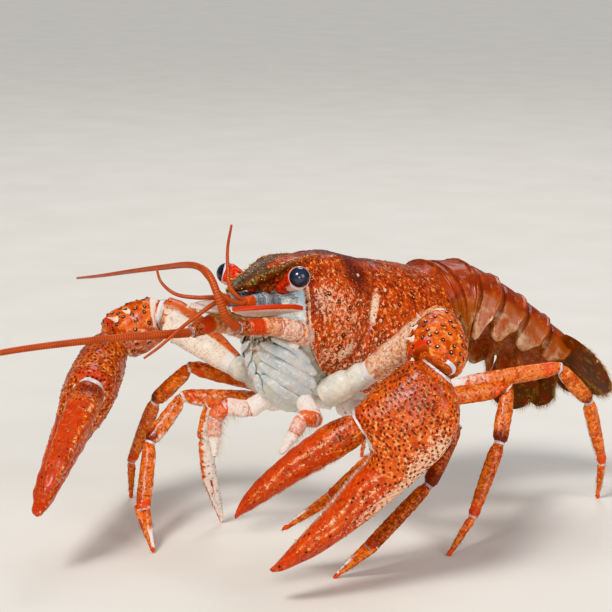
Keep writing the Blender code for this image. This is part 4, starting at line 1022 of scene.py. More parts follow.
# Antennae: the stout jointed base, the scale beside it, and the ringed feeler
antenna = {
    "base": {
        "left": (
            (8.6, 19.0, 3.6, 2.7), (10.3, 13.5, 4.6, 2.6), (9.9, 8.0, 5.3, 2.3),
            (9.0, 3.2, 4.9, 2.0), (8.3, -0.6, 4.6, 1.8), (8.0, -3.0, 4.3, 1.5),
        ),
        "right": (
            (8.6, 19.0, 3.6, 2.7), (9.8, 13.5, 5.2, 2.8), (9.4, 8.6, 5.4, 2.6),
            (9.0, 4.4, 4.6, 2.1), (9.1, 1.2, 3.4, 1.8), (9.3, -1.0, 2.4, 1.5),
        ),
    },
    # pale, dark and bright share of each segment of the base
    "colours": ((0.5, 0.1, 0.3), (0.5, 0.25, 0.3), (0.35, 0.35, 0.35), (0.1, 0.15, 0.75), (0.0, 0.5, 0.5)),
    "feeler": {
        "left": (
            (8.2, -42.0, 63.5), (7.4, -43.6, 68.5), (3.6, -43.0, 73.0), (-6.0, -39.0, 73.2),
            (-27.0, -29.0, 68.5), (-48.0, -20.3, 63.5), (-72.5, -9.6, 57.5), (-94.0, 0.5, 52.5),
        ),
        "right": (
            (-11.0, -47.0, 57.2), (-14.2, -60.0, 57.9), (-18.5, -85.0, 58.4), (-21.5, -106.0, 56.6),
            (-23.0, -126.0, 52.0),
        ),
    },
    "thick": (1.15, 0.3), "ringLength": 0.62,
    "scaleRoot": (10.6, 14.0, 9.9), "scaleTip": (6.9, -5.4, 8.3), "scaleWidth": 6.6, "scaleRoll": -26.0,
    "scaleOutline": (   # share along, outer and inner reach
        (0.0, 0.16, 0.2), (0.15, 0.3, 0.45), (0.4, 0.3, 0.68), (0.65, 0.22, 0.62), (0.85, 0.1, 0.36),
        (0.95, 0.04, 0.12), (1.0, 0.0, 0.0),
    ),
    "baseHairs": {"count": 320, "length": 1.1, "radius": 0.035, "stand": 0.5, "sag": 0.1},
    "scaleHairs": {"count": 420, "length": 1.5, "radius": 0.035, "stand": 0.0, "sag": 0.1},
}


def tapered(count, thick):
    return thick[1] + (thick[0] - thick[1]) * (1 - np.arange(count) / (count - 1)) ** 0.8


def ringedPath(name, points, radii, ringLength, columns):
    mesh = bpy.data.meshes.new(name)
    mesh.from_pydata((points * mm).tolist(), [(i, i + 1) for i in range(len(points) - 1)], [])
    store(mesh, "thick", "FLOAT", radii * mm)
    return grown(linked(name, mesh), feelerRings, {
        "Ring Length": ringLength, "Groove": 0.16, "Sides": columns, "Material": materials["feeler"],
    })


# A limb's tube through joints of (x, y, z, radius), pinched at each, with one row of shares
# (pale, dark, bright) for each segment and bluish skin at the joints
def jointedTube(name, joints, material, colours, hint=(0, 0, 1), knuckle=0.16, hairy=0.5, perJoint=16):
    joints = np.asarray(joints, float)
    points, radii, shares, segments = [], [], [], []
    for i in range(len(joints) - 1):
        for share in np.arange(perJoint + (i == len(joints) - 2)) / perJoint:
            points.append(joints[i] * (1 - share) + joints[i + 1] * share)
            pinch = 1 - knuckle * (1 - step(0.0, 0.22, share)) - knuckle * 0.5 * step(0.9, 1.0, share)
            radii.append(points[-1][3] * (pinch + 0.06 * bell(share - 0.84, 0.09)))
            shares.append(share)
            segments.append(colours[min(i, len(colours) - 1)])
    points = np.array(points)[:, :3]
    for _ in range(2):
        points[1:-1] = points[1:-1] * 0.5 + (points[:-2] + points[2:]) * 0.25
    grid = tubeRings(points, np.array(radii), 36, hint)
    grid = raised(grid, 0.06 * ripple(grid, 1.6, 31))
    shares = np.array(shares)[:, None]
    pale, dark, bright = np.array(segments).T[..., None]
    ends = np.maximum(step(0.1, 0.02, shares), step(0.95, 1.0, shares))
    tone = tones(grid, pale * (1 - ends), dark, bright, (1 - ends) * hairy)
    piece = gridPiece(name, grid, tone, material)
    markSoft(piece, grid, ends > 0.4)
    return softened(piece, "joint")


def makeAntenna(word, sign):
    rows = np.array(antenna["base"][word])
    places = bodyPoint(mirrored(rows[:, :3], sign))
    joints = np.column_stack([places, rows[:, 3]])
    base = jointedTube("antennaStem_" + word, joints, "antennaBase", antenna["colours"])
    bristles("headSetae", base, unit(places[-1] - places[0]), 40 + sign, **antenna["baseHairs"])
    place(base, "limb", "antenna_base_" + word)
    start = places[-1] + unit(places[-1] - places[-2]) * 0.6
    points = smoothPath(np.vstack([start[None], floorPoint(antenna["feeler"][word])]), 12)
    feeler = ringedPath("feeler_" + word, points, tapered(len(points), antenna["thick"]), antenna["ringLength"], 10)
    place(feeler, "feeler", "antenna_" + word)


def makeScale(word, sign):   # a thin blade with a thick red outer margin that ends in a spine
    root, tip = [bodyPoint(mirrored(antenna[key], sign)) for key in ("scaleRoot", "scaleTip")]
    axis = unit(tip - root)
    outward = bodyVector((sign, 0, 0))
    outward = unit(outward - axis * (outward @ axis))
    up = np.cross(axis, outward) * -sign
    roll = math.radians(antenna["scaleRoll"])
    outward, up = outward * math.cos(roll) + up * math.sin(roll), up * math.cos(roll) - outward * math.sin(roll)
    share = np.linspace(0.0, 0.985, 70)
    outline = smoothRow(antenna["scaleOutline"], share) * antenna["scaleWidth"]
    outer, inner = outline[:, 0], outline[:, 1]
    x = np.stack([outer, outer * 0.4, -inner * 0.5, -inner, -inner * 0.98, -inner * 0.4, outer * 0.5, outer], -1)
    z = np.broadcast_to(np.array((0.55, 0.75, 0.45, 0.12, -0.1, -0.3, -0.35, -0.25)), x.shape)
    loop = smoothLoop(np.stack([x, z], -1), 64)
    centres = root + (tip - root) * share[:, None]
    grid = centres[:, None] + outward * loop[..., 0:1] + up * loop[..., 1:2]
    across = loop[..., 0]
    red = step(0.55, 0.95, across / np.maximum(outer[:, None], 0.2))
    red = np.maximum(red, 0.2 * step(0.1, -0.2, loop[..., 1]))
    ragged = 0.35 * step(0.35, 0.0, share)[:, None] * (0.5 + 0.5 * ripple(grid, 1.4, 51))
    fringe = step(0.8, 0.97, -across / np.maximum(inner[:, None], 0.2)) * step(0.1, 0.3, share)[:, None]
    tone = tones(grid, 1 - red - ragged, 0, red + ragged, fringe)
    blade = gridPiece("antennaScale_" + word, grid, tone, "antennaBase", end=tip)
    bristles("headSetae", blade, unit(-outward + axis * 0.8), 50 + sign, **antenna["scaleHairs"])
    place(blade, "claw", "antenna_scale_" + word)


for word, sign in sides:
    makeAntenna(word, sign)
    makeScale(word, sign)
print("antennae made")


antennule = {
    "base": ((3.2, 13.5, 10.8, 2.0), (3.8, 8.0, 11.0, 1.9), (4.0, 4.5, 10.6, 1.5), (4.0, 2.4, 10.4, 1.2)),
    "colours": ((0.3, 0.0, 0.0), (0.2, 0.2, 0.1), (0.0, 0.1, 0.8)),
    "filaments": {
        "left": (
            ((3.6, 0.8, 11.0), (2.6, -1.6, 13.4), (1.6, -1.8, 17.8), (1.2, -2.0, 22.4), (2.2, -2.4, 27.6)),
            ((4.4, 0.6, 9.8), (3.6, -2.2, 10.4), (1.8, -4.6, 12.2), (-1.0, -5.2, 14.8), (-4.6, -4.4, 16.8)),
        ),
        "right": (
            ((-4.4, 0.6, 10.8), (-7.2, -2.6, 10.4), (-11.0, -5.4, 10.8), (-14.4, -7.0, 13.2), (-15.8, -7.8, 16.6)),
            ((-3.8, 0.6, 9.6), (-5.0, -3.2, 6.6), (-8.0, -6.6, 2.4), (-10.4, -9.6, -1.6), (-12.4, -12.4, -4.6)),
        ),
    },
    "thick": (0.65, 0.28), "ringLength": 0.5,
    "hairs": {"count": 420, "length": 1.5, "radius": 0.025, "stand": 0.35, "sag": 0.05},
}


def makeAntennule(word, sign):
    rows = np.array(antennule["base"])
    places = bodyPoint(mirrored(rows[:, :3], sign))
    joints = np.column_stack([places, rows[:, 3]])
    base = jointedTube("antennuleStem", joints, "antennule", antennule["colours"], hairy=1.0)
    bristles("stemSetae", base, unit(places[-1] - places[0]), 60 + sign, **antennule["hairs"])
    parts = [base]
    sunk = places[-1] * 0.6 + places[-2] * 0.4
    for route in antennule["filaments"][word]:
        points = smoothPath(np.vstack([sunk[None], bodyPoint(route)]), 10)
        radii = tapered(len(points), antennule["thick"])
        parts.append(ringedPath("filament", points, radii, antennule["ringLength"], 8))
    place(joined("antennule_" + word + "_ringed", parts), "limb", "antennule_" + word)


for word, sign in sides:
    makeAntennule(word, sign)
print("antennules made")


# Mouth: a soft pale core under the head with smooth plates that overlap like petals
mouth = {
    "core": (   # centre, half width, half depth
        (0.0, 12.6, 6.0, 4.0, 1.8), (0.0, 13.8, 2.6, 5.6, 3.0), (0.0, 16.6, -2.8, 6.6, 4.0),
        (0.0, 20.2, -7.8, 6.2, 4.0), (0.0, 23.8, -11.6, 4.8, 3.0), (0.0, 26.2, -13.2, 3.0, 1.6),
    ),
    # each plate: three points of its middle line, widest half width
    "plates": (
        ((4.6, 25.4, -13.2), (3.4, 17.0, -9.8), (0.6, 13.4, -6.4), 1.9),
        ((6.4, 25.4, -11.0), (5.0, 16.0, -6.8), (0.7, 11.9, -3.6), 2.1),
        ((7.8, 25.0, -8.2), (6.4, 15.6, -3.8), (0.9, 11.0, -1.0), 2.1),
        ((8.6, 24.0, -5.0), (7.0, 14.6, -0.8), (1.8, 10.8, 1.2), 1.8),
        ((8.6, 21.6, -2.4), (7.6, 15.0, 1.2), (4.4, 11.6, 2.6), 1.2),
    ),
    "papilla": (7.6, 16.0, 1.6),
    "tuftHairs": {"count": 60, "length": 1.8, "radius": 0.03, "stand": 0.35, "sag": 0.05},
    "plateHairs": {"count": 40, "length": 0.9, "radius": 0.025, "stand": 0.4, "sag": 0.05},
}


def makePlate(row, sign, i):
    points = smoothPath(bodyPoint(mirrored(row[:3], sign)), 20)
    share = np.linspace(0, 1, len(points))
    wide = row[3] * np.sqrt(np.clip(1 - (2 * share - 1) ** 4, 0.03, 1)) * (1.1 - 0.35 * share)
    along = unit(np.gradient(points, axis=0))
    centre = bodyPoint((0.0, 20.0, -3.0))
    out = unit(points - centre)
    out = unit(out - along * (out * along).sum(1, keepdims=True))
    across = np.cross(along, out)
    angle = roundAngles(44)
    grid = ovalRings(points, across, out, wide, 0.2 * wide + 0.12, 44)
    grid = grid - out[:, None] * ((np.cos(angle) ** 2) * 0.3 * wide[:, None])[..., None]   # cupped
    grid = raised(grid, 0.06 * ripple(grid, 2.2, 75 + i))
    rim = np.abs(np.cos(angle))[None] ** 14
    # painted highlight: white along the middle of both faces of each cupped plate
    white = 0.5 * bell(np.cos(angle), 0.3)[None] * bell(share - 0.5, 0.4)[:, None]
    orange = 0.55 * bell(share - 0.9, 0.1)[:, None] * (0.5 + 0.5 * ripple(grid, 1.2, 77)) * (i > 1)
    tone = tones(grid, white, orange, rim, 0.25 + 0.75 * step(0.85, 1.0, share)[:, None])
    return gridPiece("mouthPlate", grid, tone, "plates")


def makeMouth():
    rows = np.array(mouth["core"])
    points = smoothPath(bodyPoint(rows[:, :3]), 10)
    sizes = smoothPath(rows[:, 3:], 10)
    side = bodyVector((1, 0, 0))
    direction = unit(np.gradient(points, axis=0))
    grid = ovalRings(points, side, np.cross(direction, side), sizes[:, 0], sizes[:, 1], 72)
    grid = raised(grid, 0.25 * ripple(grid, 3.0, 71) + 0.1 * ripple(grid, 1.0, 72))
    local = bodyLocal(grid)
    band = bell(local[..., 2] - 1.8, 2.4) * (0.62 + 0.3 * ripple(grid, 0.9, 70))   # dotted brown band
    tone = tones(grid, 0.4 * step(-2, -8, local[..., 2]), band, 0.6 * bell(local[..., 2] + 0.9, 0.7), 0.3)
    parts = [gridPiece("mouthPalps", grid, tone, "chest")]
    tuft = bodyPoint((0.5, 12.2, 1.2))
    bristles("stemSetae", parts[0], bodyVector((0, -0.7, -1)), 73, **mouth["tuftHairs"],
             where=lambda at: step(3.2, 1.5, np.linalg.norm(at - tuft, axis=1)))
    for sign in (1, -1):
        for i, row in enumerate(mouth["plates"]):
            plate = makePlate(row, sign, i)
            bristles("mouthSetae", plate, bodyVector((0, -1, -0.3)), 80 + i * 2 + sign, **mouth["plateHairs"])
            parts.append(plate)
        centre = bodyPoint(mirrored(mouth["papilla"], sign))
        aim = bodyVector((sign * 0.7, -0.7, -0.2))
        share = np.linspace(0, 1, 14)
        radii = 1.15 * np.sqrt(np.clip(1 - share**2.4, 0.02, 1))
        across = unit(np.cross(aim, (0, 0, 1)))
        grid = ovalRings(centre + aim * (share * 1.7)[:, None], across, np.cross(across, aim), radii * 1.4, radii, 24)
        parts.append(gridPiece("papilla", grid, tones(grid, 0.9), "plates"))
    place(joined("mouthPalps", parts), "pale", "mouthparts")


makeMouth()

maxilliped = {
    "left": (
        (4.2, 24.0, -10.6, 2.2), (8.8, 23.4, -15.0, 2.2), (11.2, 21.4, -15.6, 2.0),
        (9.8, 18.8, -15.4, 1.9), (9.0, 17.6, -19.2, 1.6), (7.0, 15.6, -24.2, 0.5),
    ),
    "right": (
        (-4.2, 23.6, -10.6, 2.2), (-8.4, 19.6, -15.0, 2.2), (-11.4, 14.6, -14.6, 2.0),
        (-13.4, 13.4, -17.4, 1.9), (-13.8, 14.2, -22.0, 1.6), (-13.2, 14.2, -27.0, 0.5),
    ),
    "colours": ((0.9, 0.0, 0.0), (0.6, 0.0, 0.3), (0.3, 0.1, 0.5), (0.45, 0.0, 0.4), (0.9, 0.0, 0.0)),
    "hairCount": {"left": 260, "right": 420}, "hairs": {"length": 3.0, "radius": 0.03, "stand": 0.6, "sag": 0.08},
}


def makeMaxilliped(word, sign):
    rows = np.array(maxilliped[word])
    joints = np.column_stack([bodyPoint(rows[:, :3]), rows[:, 3]])
    limb = jointedTube(
        "mouthLeg_" + word, joints, "leg", maxilliped["colours"], bodyVector((1, 0.3, 0)),
        knuckle=0.2, hairy=1.0,
    )
    lie = unit(unit(joints[-1, :3] - joints[-3, :3]) + bodyVector((0, 0.6, -0.3)))
    ends = joints[-2, :3]
    bristles("mouthSetae", limb, lie, 90 + sign, maxilliped["hairCount"][word], **maxilliped["hairs"],
             where=lambda at: step(9, 4, np.linalg.norm(at - ends, axis=1)))
    place(limb, "pale", "maxilliped_" + word)


for word, sign in sides:
    makeMaxilliped(word, sign)
print("mouth made")


# Claws: base, arm, wrist, palm with its fixed finger, and the moving finger
claw = {
    "root": (8.0, 28.5, -9.5), "lengths": {"base": 13.0, "arm": 23.0, "wrist": 15.5},
    # how far each part turns outwards and rises, in degrees
    "pose": {
        "left": {"base": (103, 30), "arm": (103, 38), "wrist": (39, -26.5), "palm": (-35, -50.5)},
        "right": {"base": (77, 20), "arm": (77, 28), "wrist": (48, -28), "palm": (-28, -31)},
    },
    "face": {"left": (42, 16), "right": (47, 24)}, "open": {"left": 18.5, "right": 3.0},
    # share along, half width, half height
    "baseForm": ((0.0, 3.6, 3.4), (0.5, 3.5, 3.4), (0.62, 2.8, 2.8), (0.8, 3.2, 3.2), (1.0, 2.6, 2.7)),
    "armForm": (
        (0.0, 2.6, 2.7), (0.15, 3.1, 3.6), (0.5, 3.5, 4.8), (0.8, 4.0, 5.6), (0.93, 3.8, 4.9), (1.0, 3.0, 3.2),
    ),
    "wristForm": (
        (0.0, 3.0, 3.2), (0.2, 5.2, 5.4), (0.5, 6.6, 6.2), (0.8, 6.6, 6.0), (0.95, 5.0, 4.8), (1.0, 3.6, 3.6),
    ),
    # mm along, place of the middle line, half width, half height
    "palmForm": (
        (0.4, -0.6, 3.6, 3.4), (3.0, -1.6, 7.2, 5.2), (8.0, -2.6, 9.4, 6.2), (14.5, -2.5, 10.3, 6.6),
        (20.0, -2.4, 9.6, 6.2), (24.0, -5.9, 5.7, 5.0), (31.0, -5.3, 4.8, 4.3), (39.0, -4.4, 3.9, 3.6),
        (47.0, -3.1, 3.2, 2.9), (53.0, -1.8, 2.2, 2.1), (57.0, -0.6, 1.2, 1.3), (58.8, 0.4, 0.45, 0.5),
    ),
    "hinge": (19.5, 4.4),   # mm along the palm, and towards its inner side
    "fingerForm": (
        (0.0, 0.0, 2.6, 2.8), (3.0, 0.2, 3.5, 3.8), (8.0, 0.4, 4.0, 4.0), (14.0, 0.5, 3.7, 3.6),
        (21.0, 0.3, 3.1, 3.1), (27.0, -0.1, 2.5, 2.5), (32.0, -0.8, 1.7, 1.8), (35.0, -1.5, 0.9, 1.0),
        (36.4, -2.1, 0.35, 0.4),
    ),
    # share along, degrees round, length
    "armSpines": ((0.45, -40, 1.4), (0.62, -40, 1.7), (0.78, -40, 2.1), (0.92, -30, 2.4), (0.86, 70, 1.8)),
    "wristSpines": ((0.5, 10, 1.6), (0.72, 5, 2.6), (0.9, -35, 1.8)),
    # where the teeth stand, mm along
    "palmTeeth": (6.0, 8.2, 10.4, 12.6, 14.8), "fingerTeeth": (27.0, 30.5, 34.0, 38.0, 42.0, 46.0, 50.0),
    "movingTeeth": (9.0, 12.0, 15.0, 18.0, 21.5, 25.0, 28.5),
    "palmTooth": (0.9, 0.5), "fingerTooth": (0.5, 0.38), "movingTooth": (0.45, 0.36),   # length, radius
    "spineRadius": 0.6,
    # how white the pale marks are
    "whiteness": {"palm": {"left": 1.0, "right": 0.75}, "finger": {"left": 1.0, "right": 0.6}},
    "domes": {   # spacing, radius, height, ring radius, swell, and the seed
        "arm": ((1.5, 0.22, 0.2, 0.5, 0.08), 14), "wrist": ((1.6, 0.32, 0.34, 0.7, 0.12), 13),
        "palm": ((0.9, 0.17, 0.14, 0.44, 0.06), 11), "finger": ((0.9, 0.12, 0.09, 0.32, 0.03), 12),
    },
    "materials": {   # of the part and of its thorns
        "arm": ("arm", "wrist"), "wrist": ("wrist", "wrist"), "palm": ("claw", "claw"), "finger": ("claw", "claw"),
    },
    "hairCount": {"palm": 520, "finger": 420}, "hairs": {"length": 0.75, "radius": 0.04, "stand": 0.5, "sag": 0.0},
}


def clawFrame(word, sign):
    pose = claw["pose"][word]
    joints = [bodyPoint(mirrored(claw["root"], sign))]
    for key, length in claw["lengths"].items():
        joints.append(joints[-1] + heading(*pose[key], sign) * length)
    axis = heading(*pose["palm"], sign)
    face = heading(*claw["face"][word], sign)
    face = unit(face - axis * (face @ axis))
    return joints, axis, face, np.cross(face, axis) * -sign


# One part of a limb, from joint k of its path to the next, turned a little towards its neighbours
def segmentGrid(path, form, side, k, rows, columns, power=1.0):
    directions = [unit(b - a) for a, b in zip(path, path[1:])]
    share = np.linspace(0, 1, rows)
    thick, high = smoothRow(form, share).T
    centres = path[k] + (path[k + 1] - path[k]) * share[:, None]
    along = np.broadcast_to(directions[k], centres.shape).copy()
    if k > 0:
        blend = (1 - step(0, 0.25, share))[:, None] * 0.5
        along = unit(along * (1 - blend) + directions[k - 1] * blend)
    if k + 1 < len(directions):
        blend = step(0.75, 1, share)[:, None] * 0.5
        along = unit(along * (1 - blend) + directions[k + 1] * blend)
    across = unit(side - along * (along @ side)[:, None])
    return ovalRings(centres, across, np.cross(along, across), thick, high, columns, power), share[:, None]


def roundShares(columns):   # where each column stands round a part: its side and its height
    angle = roundAngles(columns)
    return np.cos(angle)[None], np.sin(angle)[None], angle


def limbThorns(start, end, form, inner, facing, rows):
    along = unit(end - start)
    across = unit(inner - along * (inner @ along))
    up = np.cross(along, across) * facing
    made = []
    for share, degrees, length in rows:
        thick, high = smoothRow(form, share)
        c, s = math.cos(math.radians(degrees)), math.sin(math.radians(degrees))
        base = start + (end - start) * share + across * c * thick + up * s * high
        made.append((base, across * c + up * s + along * 0.5, length, claw["spineRadius"]))
    return made


# Finishes one part of a claw: skin where it bends, hairs, domes, and thorns or teeth
def clawPart(part, word, grid, tone, soft, bumps, rows, lie=None, seed=None):
    name = "claw%s_%s" % (part.capitalize(), word)
    shell, thorn = claw["materials"][part]
    piece = gridPiece(name, grid, tone)
    markSoft(piece, grid, soft)
    if part in claw["hairCount"]:
        bristles("clawSetae", piece, lie, seed, claw["hairCount"][part], **claw["hairs"])
    storeBumps(piece, bumps)
    domed(piece, *claw["domes"][part], shell)
    softened(piece, "joint")
    piece = joined(name, [piece, thorns(name + "Thorns", rows, thorn)])
    place(piece, "claw", "claw_%s_%s" % (part, word))


def makeClawArm(word, sign, path, inner):
    seed = 100 + 20 * sign
    grid, share = segmentGrid(path, claw["baseForm"], inner, 0, rows=60, columns=56)
    grid = raised(grid, 0.12 * ripple(grid, 3.0, seed))
    top = roundShares(56)[1] * -sign
    bright = 0.75 * step(0.1, 0.8, top) * step(0.5, 0.8, share)
    tone = tones(grid, 0.2 * bell(share - 0.64, 0.08), 0, bright)
    place(gridPiece("clawBase_" + word, grid, tone, "chest"), "limb", "claw_base_" + word)

    grid, share = segmentGrid(path, claw["armForm"], inner, 1, rows=100, columns=100, power=0.9)
    lift = 0.14 * ripple(grid, 3.0, seed + 1) + 0.3 * bell(share - 0.955, 0.018) - 0.35 * bell(share - 0.985, 0.012)
    grid = raised(grid, lift)
    top = roundShares(100)[1] * -sign   # 1 on the face that looks up and out
    under = step(0.15, -0.35, top)
    if sign > 0:
        pale, bright = 0.1 + 0.35 * under, 0.35 * bell(share - 0.9, 0.06)
    else:
        pale, bright = 1.1 * under * step(1.0, 0.75, share), 0.7 * (1 - under)
    tone = tones(grid, pale, 0.25 * (1 - under) * bell(share - 0.7, 0.3), bright, 0.3)
    soft = (share < 0.1) | (share > 0.975)
    bumps = (1 - 0.8 * under) * step(0.15, 0.4, share)
    rows = limbThorns(path[1], path[2], claw["armForm"], inner, -sign, claw["armSpines"])
    clawPart("arm", word, grid, tone, soft, bumps, rows)


def makeWrist(word, sign, path, inner):
    seed = 100 + 20 * sign
    grid, share = segmentGrid(path, claw["wristForm"], inner, 2, rows=120, columns=120, power=0.88)
    side, top = roundShares(120)[:2]
    lift = 0.16 * ripple(grid, 3.4, seed + 2) - 0.5 * bell(share - 0.08, 0.03) + 0.3 * bell(share - 0.9, 0.03)
    lift = lift - 0.5 * bell(top - 0.9, 0.12) * bell(share - 0.5, 0.28)   # the groove along its top
    lift = lift - 0.45 * bell(share - 0.965, 0.015)
    grid = raised(grid, lift)
    under = step(-0.3, -0.85, top * -sign)
    knob = bell(share - 0.86, 0.05) * step(0.3, 0.8, side)
    pale = 0.95 * bell(share - 0.12, 0.04) * step(-0.2, 0.5, side) + 0.4 * under
    tone = tones(grid, pale, 0.3 * bell(share - 0.55, 0.35) * step(0.1, -0.6, side), 0.9 * knob, 0.2)
    soft = (share < 0.06) | ((share > 0.965) & (side < -0.2))
    bumps = step(0.1, 0.2, share) * step(0.95, 0.9, share) * (1 - 0.5 * under)
    rows = limbThorns(path[2], path[3], claw["wristForm"], inner, -sign, claw["wristSpines"])
    clawPart("wrist", word, grid, tone, soft, bumps, rows)


def makePalm(word, sign, start, axis, face, inner):
    seed, columns = 100 + 20 * sign, 140
    distance = np.concatenate([np.linspace(0.4, 26, 104), np.linspace(26.4, 58.8, 104)])
    middle, half, thick = smoothRow(claw["palmForm"], distance).T
    centres = start + axis * distance[:, None] + inner * middle[:, None]
    side, top, angle = roundShares(columns)
    at = distance[:, None]
    grid = ovalRings(centres, inner, face, half, thick, columns, power=0.9)
    finger = step(22, 30, at)
    ridges = np.cos(3 * (angle - math.pi / 2))[None] * 0.3 * finger * step(58, 50, at)
    lift = 0.14 * ripple(grid, 4.0, seed + 3) + ridges - 0.35 * bell(at - 1.8, 0.6)
    lift = lift + 0.45 * bell(side + 0.97, 0.1) * step(4, 10, at) * step(50, 38, at)
    lift = lift - 0.25 * finger * bell(side - 1, 0.12)
    lift = lift + 0.4 * bell(at - 18.6, 1.0) * step(0.5, 0.9, side)   # the knob beside the hinge
    grid = raised(grid, lift)
    outer = step(-0.25, -0.9, side)
    under = step(-0.1, -0.6, top)
    crest = bell(ridges - 0.3, 0.12) * (0.5 + 0.5 * np.sin(11 * angle + 2.5 * ripple(grid, 9.0, 8)))
    white = claw["whiteness"]["palm"][word]
    pale = white * (0.62 * outer * step(6, 14, at) * step(48, 30, at) + 0.3 * under)
    pale = pale + white * 0.42 * finger * crest * step(55, 44, at)
    dark = 0.42 * step(22, 8, at) * (1 - outer) * step(-0.5, 0.2, top) + 0.3 * finger * bell(side, 0.25) * (top > 0)
    bright = 0.75 * finger * (1 - crest) + 0.7 * step(50, 57, at) + bell(at - 18.8, 1.6) * step(0.5, 0.85, side)
    edge = finger * step(0.88, 0.98, side)
    soft = (at < 1.1) | ((at > 20.8) & (at < 23.6) & (side > 0.72))
    bumps = step(2, 5, at) * (1 - 0.84 * finger) * (1 - 0.4 * under) * (1 - edge) * (1 - soft)
    rows = []
    for along in (*claw["palmTeeth"], *claw["fingerTeeth"]):
        middle, half, thick = smoothRow(claw["palmForm"], along)
        where = start + axis * along + inner * (middle + half * 0.96)
        tooth = claw["palmTooth" if along in claw["palmTeeth"] else "fingerTooth"]
        rows.append((where, inner + axis * 0.25, *tooth))
    clawPart("palm", word, grid, tones(grid, pale, dark, bright, edge), soft, bumps, rows, inner, seed + 4)


def makeFinger(word, sign, start, axis, face, inner):
    seed, columns = 100 + 20 * sign, 104
    opening = math.radians(claw["open"][word])
    out = axis * math.cos(opening) + inner * math.sin(opening)
    across = inner * math.cos(opening) - axis * math.sin(opening)
    hinge = start + axis * claw["hinge"][0] + inner * claw["hinge"][1]
    distance = np.linspace(0, claw["fingerForm"][-1][0], 144)
    middle, half, thick = smoothRow(claw["fingerForm"], distance).T
    centres = hinge + out * distance[:, None] + across * middle[:, None]
    side, top, angle = roundShares(columns)
    at = distance[:, None]
    grid = ovalRings(centres, across, face, half, thick, columns, power=0.92)
    ridges = np.cos(3 * (angle - math.pi / 2))[None] * 0.3 * step(4, 9, at) * step(36, 30, at)
    grid = raised(grid, 0.12 * ripple(grid, 3.6, seed + 5) + ridges - 0.3 * bell(at - 1.8, 0.5))
    crest = bell(ridges - 0.3, 0.12) * (0.5 + 0.5 * np.sin(11 * angle + 2.5 * ripple(grid, 9.0, 9)))
    white = claw["whiteness"]["finger"][word]
    pale = white * (0.42 * crest * step(34, 22, at) + 0.25 * step(0.0, -0.7, top))
    bright = 0.75 * step(5, 12, at) * (1 - crest)
    edge = step(-0.88, -0.98, side) * step(8, 12, at)
    dark = 0.35 * bell(at - 5, 3) + 0.4 * bell(side, 0.3) * (top > 0) * step(3, 8, at) + 0.25 * step(0.4, 0.9, side)
    bumps = (0.95 - 0.8 * step(5, 12, at)) * (1 - edge) * step(2.4, 4, at)
    rows = []
    for along in claw["movingTeeth"]:
        middle, half, thick = smoothRow(claw["fingerForm"], along)
        where = hinge + out * along + across * (middle - half * 0.96)
        rows.append((where, out * 0.2 - across, *claw["movingTooth"]))
    clawPart("finger", word, grid, tones(grid, pale, dark, bright, edge), at < 2.0, bumps, rows, -across, seed + 6)


for word, sign in sides:
    joints, axis, face, inner = clawFrame(word, sign)
    path = [*joints, joints[-1] + axis * 10.0]
    makeClawArm(word, sign, path, inner)
    makeWrist(word, sign, path, inner)
    makePalm(word, sign, joints[-1], axis, face, inner)
    makeFinger(word, sign, joints[-1], axis, face, inner)
print("claws made")


# Walking legs: where each stands, the lengths of its four parts, the turn of its knee, the bends
# of its two lower joints, and how white and how dark it is painted: its own colouring, plus painted shade on legs
# that lie in the claws' shade, most on leg3_left
legs = {
    "roots": {2: (7.5, 36.0, -12.0), 3: (8.5, 43.0, -12.5), 4: (8.5, 50.0, -11.6), 5: (7.5, 56.5, -8.8)},
    "leg2_left": ((14.4, -30.3, 12.0), (23, 10, 14, 14), -73, (10, 16), 0.5, 0.1),
    # its darkness is mostly painted shade from the left claw above it
    "leg3_left": ((22.6, -21.5, 0.0), (28, 14.5, 20.5, 11), -69, (22, 7), 0.15, 0.3),
    "leg4_left": ((31.9, 9.0, 0.0), (32, 14, 20.5, 11.5), -62, (10, 12), 0.6, 0.15),
    "leg5_left": ((31.0, 72.0, 0.0), (41, 14, 22, 12), 26, (22, 16), 0.9, 0.05),
    "leg2_right": ((-26.3, -10.7, 0.0), (22, 9.5, 12, 15), -40, (13, 6), 1.0, 0.0),
    "leg3_right": ((-21.4, -38.6, 0.0), (33, 14, 18, 11), 45, (30, 19), 0.6, 0.15),
    "leg4_right": ((-58.7, -12.4, 0.0), (37, 14.5, 21, 12), -22, (20, 17), 0.3, 0.2),
    "leg5_right": ((-40.0, 58.0, 0.0), (38, 14, 21, 12), 10, (18, 14), 0.4, 0.1),
    "upper": (
        (0.0, 2.6, 2.7), (0.14, 2.7, 2.8), (0.2, 2.0, 2.2), (0.3, 2.1, 2.4), (0.37, 1.6, 1.8),
        (0.46, 1.6, 2.3), (0.8, 1.6, 2.3), (0.94, 1.6, 2.0), (1.0, 1.3, 1.5),
    ),
    "carpus": ((0.0, 1.3, 1.5), (0.3, 1.5, 1.9), (0.85, 1.5, 2.0), (1.0, 1.1, 1.3)),
    "palm": ((0.0, 1.1, 1.3), (0.14, 1.4, 1.8), (0.7, 1.3, 1.6), (1.0, 1.0, 1.1)),
    "pincerPalm": ((0.0, 1.1, 1.3), (0.14, 1.4, 1.7), (0.75, 1.45, 1.9), (1.0, 1.3, 1.7)),
    "finger": ((0.0, 1.0, 1.1), (0.12, 1.0, 1.1), (0.55, 0.7, 0.8), (0.9, 0.45, 0.5), (1.0, 0.35, 0.4)),
    "pincerFinger": ((0.0, 0.8, 0.9), (0.1, 0.9, 0.95), (0.6, 0.7, 0.75), (0.92, 0.42, 0.46), (1.0, 0.28, 0.32)),
    "pincerSpread": 1.35,
    "domes": (1.3, 0.12, 0.09, 0.4, 0.03), "segmentHairs": 45, "fingerHairs": 150,
    "hairs": {"length": 0.8, "radius": 0.028, "stand": 0.75, "sag": 0.0},
}


